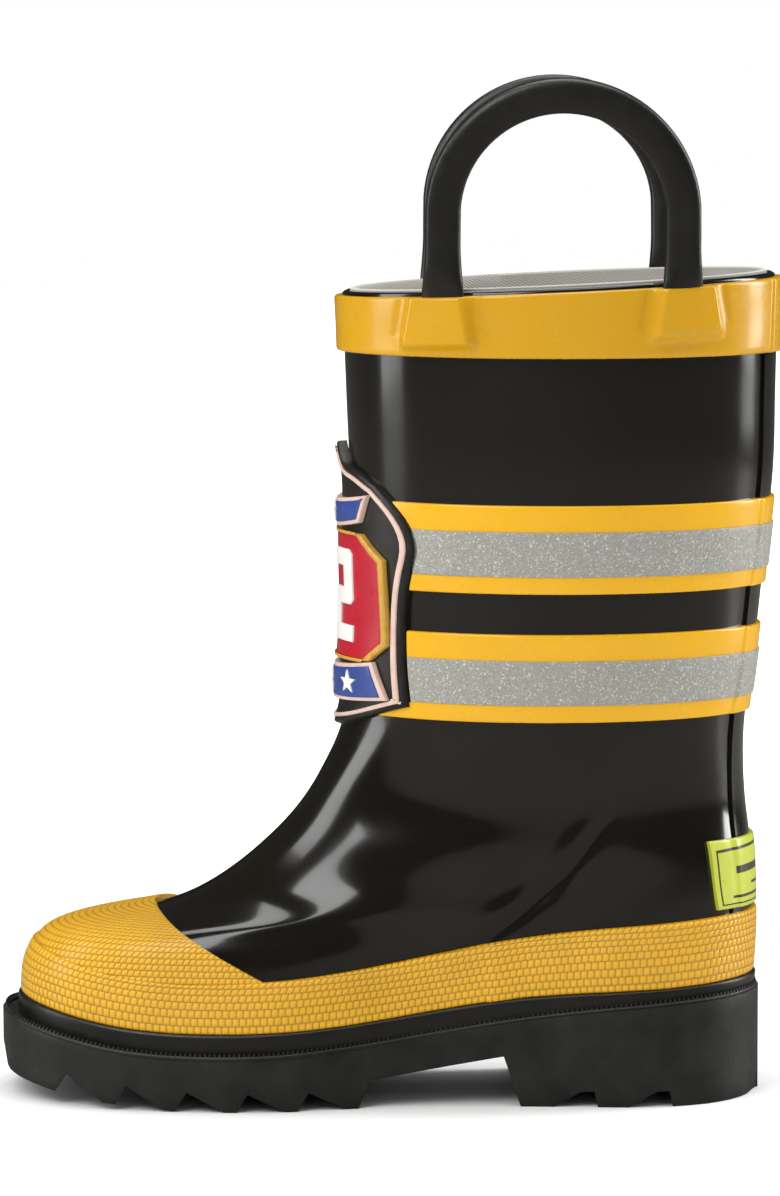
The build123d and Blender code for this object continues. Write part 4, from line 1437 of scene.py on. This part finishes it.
def shield_half(steps: int = 26) -> np.ndarray:
    """The shield's outline on one side, from the bottom to the tip."""
    parts = [curve_through(shape.value, steps) for shape in ShieldShape]
    return np.concatenate([parts[0], parts[1][1:], parts[2][1:]])


def mirrored(half: np.ndarray) -> np.ndarray:
    """Closes a half outline with its mirror image.

    Args:
        half: its points, from one end on the middle line to the other.

    Returns:
        The closed outline's points.
    """
    other = half[::-1] * (-1, 1)
    keep = np.abs(other[:, 0]) > 1e-9
    return np.concatenate([half, other[keep]])


def inset(loop: np.ndarray, distance: float) -> np.ndarray:
    """Moves a closed counter-clockwise outline inwards.

    Args:
        loop: its points.
        distance: how far.

    Returns:
        The moved points.
    """
    before, after = loop - np.roll(loop, 1, axis=0), np.roll(loop, -1, axis=0) - loop
    before /= np.linalg.norm(before, axis=1, keepdims=True) + 1e-12
    after /= np.linalg.norm(after, axis=1, keepdims=True) + 1e-12
    inward = np.stack([-(before[:, 1] + after[:, 1]), before[:, 0] + after[:, 0]], axis=1)
    length = np.linalg.norm(inward, axis=1, keepdims=True) + 1e-12
    share = np.clip(length / 2, 0.5, 1.0)
    return loop + inward / length * distance / share


def dense(loop: np.ndarray, step: float = 0.7) -> np.ndarray:
    """Adds points along a closed outline.

    Args:
        loop: its points.
        step: the largest distance left between two points.

    Returns:
        The points with those added.
    """
    found = []
    for a, b in zip(loop, np.roll(loop, -1, axis=0)):
        count = max(1, int(math.ceil(np.hypot(*(b - a)) / step)))
        found += [a + (b - a) * k / count for k in range(count)]
    return np.array(found)


@dataclass
class Shield:
    """The front shield: its plate, piping, red plaque with a rim, number, two scrolls and stars."""

    form: BootForm
    palette: Palette
    face: float = 1.95
    plaque: tuple[float, float, float, float] = (22.2, 101.0, 135.0, 7.0)
    plaque_cuts: tuple[float, float] = (103.9, 133.7)
    digit: tuple[float, float, float, float] = (22.0, 11.0, 4.0, 4.6)
    upper_scroll: tuple[float, float, float, float] = (134.6, 7.6, 17.4, 1.4)
    lower_scroll: tuple[float, float, float, float] = (93.4, 9.6, 20.4, -1.4)
    scroll_thickness: float = 1.7

    def relief(
        self,
        name: str,
        loops: list[np.ndarray],
        low: float,
        high: float,
        rounding: float,
        crown: Optional[Field] = None,
    ) -> bpy.types.Object:
        """Raises flat outlines from the form as one piece with rounded edges.

        Args:
            name: name of the object.
            loops: closed outlines as y and z, the outer one counter-clockwise and holes clockwise.
            low: offset of the hidden face.
            high: offset of the seen face.
            rounding: radius of the upper edges.
            crown: extra offset at y and z.

        Returns:
            The object.
        """
        shape = bmesh.new()
        for loop in loops:
            loop = dense(loop)
            rings = []
            for drawn, offset in (
                (0.0, low), (0.0, high - rounding), (rounding * 0.3, high - rounding * 0.3), (rounding, high)
            ):
                flat = inset(loop, drawn) if drawn else loop
                rings.append([shape.verts.new((offset, y, z)) for y, z in flat])
            count = len(loop)
            for below, above in zip(rings, rings[1:]):
                for k in range(count):
                    after = (k + 1) % count
                    shape.faces.new((below[k], below[after], above[after], above[k]))
        shape.verts.index_update()
        for offset in (low, high):
            border = [
                edge
                for edge in shape.edges
                if edge.is_boundary and all(abs(vert.co.x - offset) < 1e-6 for vert in edge.verts)
            ]
            bmesh.ops.triangle_fill(shape, use_beauty=True, use_dissolve=False, edges=border)
        for axis, start, end, step in ((1, -28.0, 28.0, 1.0), (2, 84.0, 158.0, 4.0)):
            for place in np.arange(start, end, step):
                middle, normal = [0.0, 0.0, 0.0], [0.0, 0.0, 0.0]
                middle[axis], normal[axis] = float(place) + 0.013, 1.0
                whole = shape.verts[:] + shape.edges[:] + shape.faces[:]
                bmesh.ops.bisect_plane(shape, geom=whole, plane_co=middle, plane_no=normal)
        flat = np.array([v.co for v in shape.verts])
        offset = flat[:, 0] + (crown(flat[:, 1], flat[:, 2]) if crown else 0.0)
        for vert, place in zip(shape.verts, self.form.front(flat[:, 1], flat[:, 2], offset) * MM):
            vert.co = place
        bmesh.ops.recalc_face_normals(shape, faces=shape.faces)
        mesh = bpy.data.meshes.new(name)
        shape.to_mesh(mesh)
        shape.free()
        return linked(name, shaded(mesh, 40))

    @staticmethod
    def tip_lift(y: np.ndarray, z: np.ndarray) -> np.ndarray:
        """The plate's tip stands a little off the leg."""
        return 0.9 * smooth(z, 146.0, 154.5)

    def plaque_loop(self, drawn: float) -> np.ndarray:
        """The plaque's eight-sided outline, cut level under the upper scroll and over the lower one.

        Args:
            drawn: how far its sides are drawn in.

        Returns:
            Points as y and z.
        """
        half, bottom, top, corner = self.plaque
        low, high = self.plaque_cuts
        half, bottom, top = half - drawn, bottom + drawn, top - drawn
        slope = corner - drawn * (2 - math.sqrt(2))
        at_low, at_high = half - slope + (low - bottom), half - slope + (top - high)
        ends = [(at_low, low), (half, bottom + slope), (half, top - slope), (at_high, high)]
        return np.array(ends + [(-y, z) for y, z in ends[::-1]])

    @staticmethod
    def scroll_loop(
        bottom: float, height: float, half: float, flare: float, drawn: float = 0.0
    ) -> np.ndarray:
        """A scroll's outline: two arcs that rise at the ends.

        Args:
            bottom: height of the lower arc's middle.
            height: height of the scroll at its middle, a little more than it has at its ends.
            half: half its mean width.
            flare: how much wider its upper arc is on each side.
            drawn: how far the outline is drawn in.

        Returns:
            Points as y and z.
        """
        share = np.linspace(-1, 1, 33)
        under = np.stack([share * (half - flare), bottom + 1.8 * share**2], axis=1)
        over = np.stack([share * (half + flare), bottom + height - 0.9 + 1.8 * share**2], axis=1)
        loop = np.concatenate([under, over[::-1]])
        return inset(loop, drawn) if drawn else loop

    @staticmethod
    def star_loop(y: float, z: float, radius: float = 2.9) -> np.ndarray:
        """A five-pointed star.

        Args:
            y: its middle across the boot.
            z: its middle's height.
            radius: reach of its points.

        Returns:
            Points as y and z.
        """
        turns = np.radians(90 + 36 * np.arange(10))
        reach = np.where(np.arange(10) % 2, 0.42, 1.0) * radius
        return np.stack([y + reach * np.cos(turns), z + reach * np.sin(turns)], axis=1)

    def digits(self) -> list[np.ndarray]:
        """Outlines of a plain 1 and a plain 2."""
        height, width, stroke, gap = self.digit
        middle = (self.upper_scroll[0] + self.lower_scroll[0] + self.lower_scroll[1]) / 2
        low, high, one = middle - height / 2, middle + height / 2, (gap + width) / 2
        left, right = one - stroke * 0.75, one + stroke * 0.25
        flag = one + 5.2
        first = [(left, low), (right, low), (right, high - 6), (flag, high - 8.4), (flag, high - 4.6)]
        first += [(right, high), (left, high)]
        a, b = -one - width / 2, -one + width / 2
        under, over, cut = middle - stroke / 2, middle + stroke / 2, 1.2
        second = [(a, low), (b, low), (b, under + cut), (b - cut, over), (a + stroke, over)]
        second += [(a + stroke, high - stroke), (b, high - stroke), (b, high - cut), (b - cut, high)]
        second += [(a + cut, high), (a, high - cut), (a, under + cut), (a + cut, under)]
        second += [(b - stroke, under), (b - stroke, low + stroke), (a, low + stroke)]
        return [np.array(first), np.array(second)]

    def build(self) -> None:
        """Makes and dresses every piece of the shield."""
        palette, face = self.palette, self.face
        outline = dense(mirrored(shield_half()), 0.8)
        plate = self.relief("shield_rubber", [outline], -0.6, face, 0.6, self.tip_lift)
        finish_piece(plate, palette.satin_black, "black_rubber", "shield_plate")
        edges = [inset(outline, 1.2), inset(outline, 2.2)[::-1]]
        piping = self.relief("shield_piping_line", edges, face - 0.3, face + 0.5, 0.3, self.tip_lift)
        finish_piece(piping, palette.peach, "piping_paint", "shield_piping")
        edges = [self.plaque_loop(0.0), self.plaque_loop(1.35)[::-1]]
        rim = self.relief("plaque_rim", edges, face - 0.2, face + 1.45, 0.35)
        finish_piece(rim, palette.gold, "gold_paint", "plaque_frame")
        panel = self.relief("plaque_panel", [self.plaque_loop(1.2)], face - 0.2, face + 1.1, 0.2)
        finish_piece(panel, palette.red, "red_paint", "plaque")
        numbers = [
            self.relief(f"digit_{k}", [loop], face + 0.9, face + 1.6, 0.22)
            for k, loop in enumerate(self.digits())
        ]
        finish_piece(self.join("number", numbers), palette.white, "white_paint", "numeral")
        stars, top = [], face + self.scroll_thickness
        for name, scroll, places in (
            ("upper_scroll", self.upper_scroll, (0,)),
            ("lower_scroll", self.lower_scroll, (-1, 0, 1)),
        ):
            border = self.relief(f"{name}_border", [self.scroll_loop(*scroll)], face - 0.2, top - 0.3, 0.3)
            finish_piece(border, palette.peach, "blue_paint")
            panel = self.relief(f"{name}_panel", [self.scroll_loop(*scroll, 0.85)], face, top - 0.1, 0.2)
            finish_piece(panel, palette.blue, "blue_paint", name)
            bottom, height, half, _ = scroll
            for place in places:
                y = place * half * 0.6
                z = bottom + height / 2 + 1.8 * (place * 0.6) ** 2 - 0.3
                stars.append(self.relief("star", [self.star_loop(y, z)], face + 1.3, face + 2.0, 0.2))
        finish_piece(self.join("stars", stars), palette.white, "white_paint", "scroll_stars")

    @staticmethod
    def join(name: str, parts: list[bpy.types.Object]) -> bpy.types.Object:
        """Makes one object out of several.

        Args:
            name: name of the object.
            parts: the objects, which are removed.

        Returns:
            The object.
        """
        shape = bmesh.new()
        for part in parts:
            shape.from_mesh(part.data)
            bpy.data.objects.remove(part)
        mesh = bpy.data.meshes.new(name)
        shape.to_mesh(mesh)
        shape.free()
        return linked(name, shaded(mesh, 40))


# ---------------------------------------------------------------- bands and collar
@dataclass
class Trim:
    """Yellow bands with reflective tapes, and the yellow collar."""

    form: BootForm
    palette: Palette
    band_height: float = 20.6
    tape_drop: float = 6.1
    tape_height: float = 10.4
    tab_half: tuple[float, float] = (5.8, 7.6)
    tab_depth: float = 11.4
    tab_swell: float = 2.75
    columns: int = 420

    def ends(self, gap: float) -> Ends:
        """Ends of a band that stops beside the shield.

        Args:
            gap: distance that it keeps from the shield.

        Returns:
            A function from a height to the band's two angles.
        """
        steps = 60
        half = shield_half(steps)[: 2 * steps - 1]
        order = np.argsort(half[:, 1])

        def both(z: float) -> tuple[float, float]:
            """Angles of both ends.

            Args:
                z: height.

            Returns:
                The two angles.
            """
            y = float(np.interp(z, half[order, 1], half[order, 0])) + gap
            turn = self.form.turn_at(y, z, False)
            return turn, 2 * math.pi - turn

        return both

    @staticmethod
    def over_stay(x: np.ndarray, y: np.ndarray) -> np.ndarray:
        """Step of a strip that passes over the back stay."""
        return 0.55 * (1 - smooth(np.abs(y), 12.4, 13.5)) * (x > 40)

    @staticmethod
    def wrinkle(points: np.ndarray, share: float) -> np.ndarray:
        """Small crease across the upper tape on the outer side, and the bands' slight waviness.

        Args:
            points: places on the form.
            share: share of the strip's height, not used.

        Returns:
            Extra offsets.
        """
        x, y, z = points[:, 0], points[:, 1], points[:, 2]
        total = 0.05 * np.sin(x / 6.1 + z / 9.0) * np.sin(x / 2.9) + Trim.over_stay(x, y)
        away = (z - 127.0) - (x - 14.0) * 1.1
        near = hump(x - 17.0, 5.0) * hump(z - 129.0, 6.0) * (y < 0)
        return total + 0.45 * near * hump(away, 1.4)

    def tabs(self, points: np.ndarray, share: float) -> np.ndarray:
        """Swelling of the collar over the handles' feet, with faint folds beside them.

        Args:
            points: places on the form.
            share: share of the strip's height, not used.

        Returns:
            Extra offsets.
        """
        x, y, z = points[:, 0], points[:, 1], points[:, 2]
        drop = SIZE.rim(x, 1.0) - z
        total = 0.05 * np.sin(x / 6.3 + z / 5.0) + 0.02 * np.sin(x / 2.9 - z / 2.3) + self.over_stay(x, y)
        for leg in (-SIZE.handle_spacing / 2, SIZE.handle_spacing / 2):
            away = np.abs(x - SIZE.leg_centre - leg)
            half = np.interp(drop, [0, self.tab_depth], self.tab_half)
            bump = 1 - smooth(away, half - 1.0, half + 1.7)
            bump *= 1 - smooth(drop, self.tab_depth - 1.2, self.tab_depth + 1.8)
            fold = hump(away - half - 2.6, 0.8) * (drop < 9)
            total = total + self.tab_swell * bump - 0.25 * fold
        return total

    def build(self) -> None:
        """Makes and dresses the bands, tapes and collar."""
        palette = self.palette
        for name, bottom in (("lower", 91.2), ("upper", 121.3)):
            shape = {"columns": self.columns, "swell": self.wrinkle}
            section = rounded_section(-0.25, 1.1, self.band_height, 0.45, 12)
            lines = level(bottom), level(bottom + self.band_height)
            band = Strip(self.form, *lines, section, ends=self.ends(0.25), **shape)
            finish_piece(band.build(f"{name}_band_rubber"), palette.yellow, "yellow_rubber", f"{name}_band")
            top = bottom + self.band_height - self.tape_drop
            section = rounded_section(0.7, 1.42, self.tape_height, 0.14, 10)
            tape = Strip(
                self.form, level(top - self.tape_height), level(top), section, ends=self.ends(0.35), **shape
            )
            made = tape.build(f"{name}_tape")
            finish_piece(made, palette.tape, "reflective_tape", f"{name}_reflective_tape")
        section = rounded_section(-0.25, 1.85, 14.5, 0.7, 26)
        lines = level(SIZE.collar_bottom), lambda x: SIZE.rim(x, 1.0)
        collar = Strip(self.form, *lines, section, columns=900, swell=self.tabs)
        finish_piece(collar.build("collar_rubber"), palette.collar, "yellow_rubber", "collar_band")


# ---------------------------------------------------------------- handles
class Side(Enum):
    """Sides of the boot, as the sign of Y."""

    LATERAL = -1
    MEDIAL = 1


@dataclass
class PullHandle:
    """One flexible rubber loop with its two flared feet."""

    side: Side
    palette: Palette
    width: float = 8.2
    thickness: float = 5.2
    foot_width: float = 9.6
    squareness: float = 0.58
    bend_reach: float = 4.2
    leg_half_depth: float = 51.1
    leg_half_width: float = 38.0

    def stations(self) -> list[tuple[float, float, float, float, float, float]]:
        """Places along the loop: x and rise from the hinge line, tangent, width, thickness, set-in."""
        half = SIZE.handle_spacing / 2
        straight = SIZE.handle_top - half - self.width / 2
        rows = []
        for rise, wide, thick, inward in (
            (-14.0, self.foot_width, 1.6, 2.2),
            (-11.5, self.foot_width, 2.4, 2.0),
            (-8.5, self.foot_width, 2.8, 1.5),
            (-6.0, 9.7, 3.5, 0.9),
            (-4.0, 9.4, 4.3, 0.45),
            (-2.0, 9.0, 4.9, 0.15),
            (0.0, 8.7, self.thickness, 0.0),
            (2.0, 8.4, self.thickness, 0.0),
            (4.5, self.width, self.thickness, 0.0),
            (8.0, self.width, self.thickness, 0.0),
        ):
            rows.append((-half, rise, math.pi / 2, wide, thick, inward))
        for k in range(1, 48):
            turn = math.pi - math.pi * k / 48
            x, rise = half * math.cos(turn), straight + half * math.sin(turn)
            rows.append((x, rise, turn - math.pi / 2, self.width, self.thickness, 0.0))
        return rows + [(-x, rise, -tangent, *rest) for x, rise, tangent, *rest in rows[9::-1]]

    def build(self) -> bpy.types.Object:
        """Makes the loop as one rounded bar from foot to foot."""
        sign = self.side.value
        up = np.array([0.0, sign * math.sin(SIZE.lean), math.cos(SIZE.lean)])
        out = np.array([0.0, sign * math.cos(SIZE.lean), -math.sin(SIZE.lean)])
        origin = np.array([SIZE.leg_centre, sign * SIZE.handle_offset, SIZE.hinge_z])
        turns = full_turn(28)
        shape = np.stack([np.cos(turns), np.sin(turns)], axis=1)
        shape = np.sign(shape) * np.abs(shape) ** self.squareness
        level_out, plumb = np.array([0.0, sign, 0.0]), np.array([0.0, 0.0, 1.0])
        rows = []
        for x, rise, tangent, wide, thick, inward in self.stations():
            across = math.cos(tangent + math.pi / 2), math.sin(tangent + math.pi / 2)
            below = min(1.0, max(0.0, -rise / 4.0))
            if rise < 0:
                middle = origin + np.array([x, 0.0, rise]) - level_out * inward
                normal = out * (1 - below) + level_out * below
            else:
                middle = origin + np.array([x, 0.0, 0.0]) + up * rise
                normal = out
            side = np.array([across[0], 0.0, 0.0]) + (up if rise >= 0 else plumb) * across[1]
            flat, deep = shape[:, 0] * wide / 2, shape[:, 1] * thick / 2
            rows.append(middle + np.outer(flat, side) + np.outer(deep, normal))
        rows = np.array(rows)

        def wall(x: np.ndarray) -> np.ndarray:
            """Half width of the leg at x."""
            return self.leg_half_width * np.sqrt(1 - ((x - SIZE.leg_centre) / self.leg_half_depth) ** 2)

        legs = np.where(rows[..., 0] < SIZE.leg_centre, -1, 1) * SIZE.handle_spacing / 2 + SIZE.leg_centre
        bend = smooth(SIZE.hinge_z - rows[..., 2], 0.5, 5.0)
        rows[..., 1] += sign * bend * (wall(rows[..., 0]) - wall(legs))
        rows = rows.transpose(1, 0, 2)
        name = self.side.name.lower()
        made = grid_object(f"{name}_handle_rubber", rows, False, sharp=60.0)
        replaced = f"{name}_handle", f"{name}_handle_feet"
        finish_piece(made, self.palette.satin_black, "black_rubber", *replaced, body="")
        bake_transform(made)
        return made


# ---------------------------------------------------------------- studio
@dataclass
class Studio:
    """Pale floor, soft lights and the camera, in metres."""

    palette: Palette
    floor_reach: float = 4.0
    aim: tuple[float, float, float] = (0.0, 0.0, 0.11)
    world_light: float = 0.62
    world_shine: float = 0.035
    distance: float = 1.3
    camera_height: float = 0.2521
    camera_x: float = -0.0001
    tilt: float = 0.0754
    lens: float = 166.0
    drop: float = 0.13

    def floor(self) -> None:
        """Makes a wide flat floor."""
        mesh = bpy.data.meshes.new("studio_floor")
        reach = self.floor_reach
        corners = [(-reach, -reach, 0.0), (reach, -reach, 0.0), (reach, reach, 0.0), (-reach, reach, 0.0)]
        mesh.from_pydata(corners, [], [(0, 1, 2, 3)])
        mesh.materials.append(self.palette.floor)
        linked("studio_floor", mesh)

    def light(
        self, name: str, place: tuple[float, float, float], size: tuple[float, float], power: float
    ) -> None:
        """Adds one rectangular soft light aimed at the boot.

        Args:
            name: name of the light.
            place: where it hangs.
            size: its width and height.
            power: its watts.
        """
        data = bpy.data.lights.new(name, "AREA")
        data.shape = "RECTANGLE"
        data.size, data.size_y = size
        data.energy = power
        made = linked(name, data)
        made.location = place
        made.rotation_euler = (Vector(self.aim) - Vector(place)).to_track_quat("-Z", "Y").to_euler()

    def world(self) -> None:
        """Makes a white world that shows dimly in glossy reflections, and sets how colours are shown."""
        world = bpy.data.worlds.new("studio_world")
        world.use_nodes = True
        nodes, links = world.node_tree.nodes, world.node_tree.links
        background = nodes["Background"]
        rays, dim, white = (
            nodes.new(kind) for kind in ("ShaderNodeLightPath", "ShaderNodeMapRange", "ShaderNodeMath")
        )
        dim.inputs[3].default_value, dim.inputs[4].default_value = self.world_light, self.world_shine
        white.operation = "MAXIMUM"
        links.new(rays.outputs["Is Glossy Ray"], dim.inputs[0])
        links.new(dim.outputs[0], white.inputs[0])
        links.new(rays.outputs["Is Camera Ray"], white.inputs[1])
        links.new(white.outputs[0], background.inputs[1])
        background.inputs[0].default_value = (1.0, 1.0, 1.0, 1.0)
        bpy.context.scene.world = world
        bpy.context.scene.view_settings.view_transform = "Standard"

    def camera(self) -> None:
        """Sets up the camera at the boot's outer side."""
        data = bpy.data.cameras.new("camera")
        data.sensor_fit = "VERTICAL"
        data.sensor_height = 36.0
        data.lens = self.lens
        data.shift_y = -self.drop
        made = linked("camera", data)
        made.location = (self.camera_x, -self.distance, self.camera_height)
        made.rotation_euler = (math.pi / 2 - self.tilt, 0.0, 0.0)
        bpy.context.scene.camera = made

    def build(self) -> None:
        """Makes the whole studio."""
        self.floor()
        self.light("key", (-0.55, -0.75, 0.95), (0.7, 0.7), 7.5)
        self.light("top", (0.1, 0.1, 1.3), (1.1, 0.9), 11.0)
        self.light("left", (-1.1, -0.1, 0.45), (0.4, 0.9), 4.5)
        self.light("right", (1.0, 0.25, 0.5), (0.3, 0.9), 8.0)
        self.world()
        self.camera()


def main() -> None:
    """Builds the boot's looks on its frame, then the studio."""
    logging.basicConfig(level=logging.INFO, format="%(message)s")
    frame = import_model()
    palette = Palette()
    form = BootForm()
    Sole(form, palette).build()
    Upper(form, palette).build()
    Shield(form, palette).build()
    Trim(form, palette).build()
    for side in Side:
        PullHandle(side, palette).build()
    for name in ("sponge_midsole", "insole_board", "heel_counter", "toe_puff"):
        mesh = frame["nodes"][name].data
        mesh.materials.clear()
        mesh.materials.append(palette.hidden)
    Studio(palette).build()


if __name__ == "__main__":
    main()
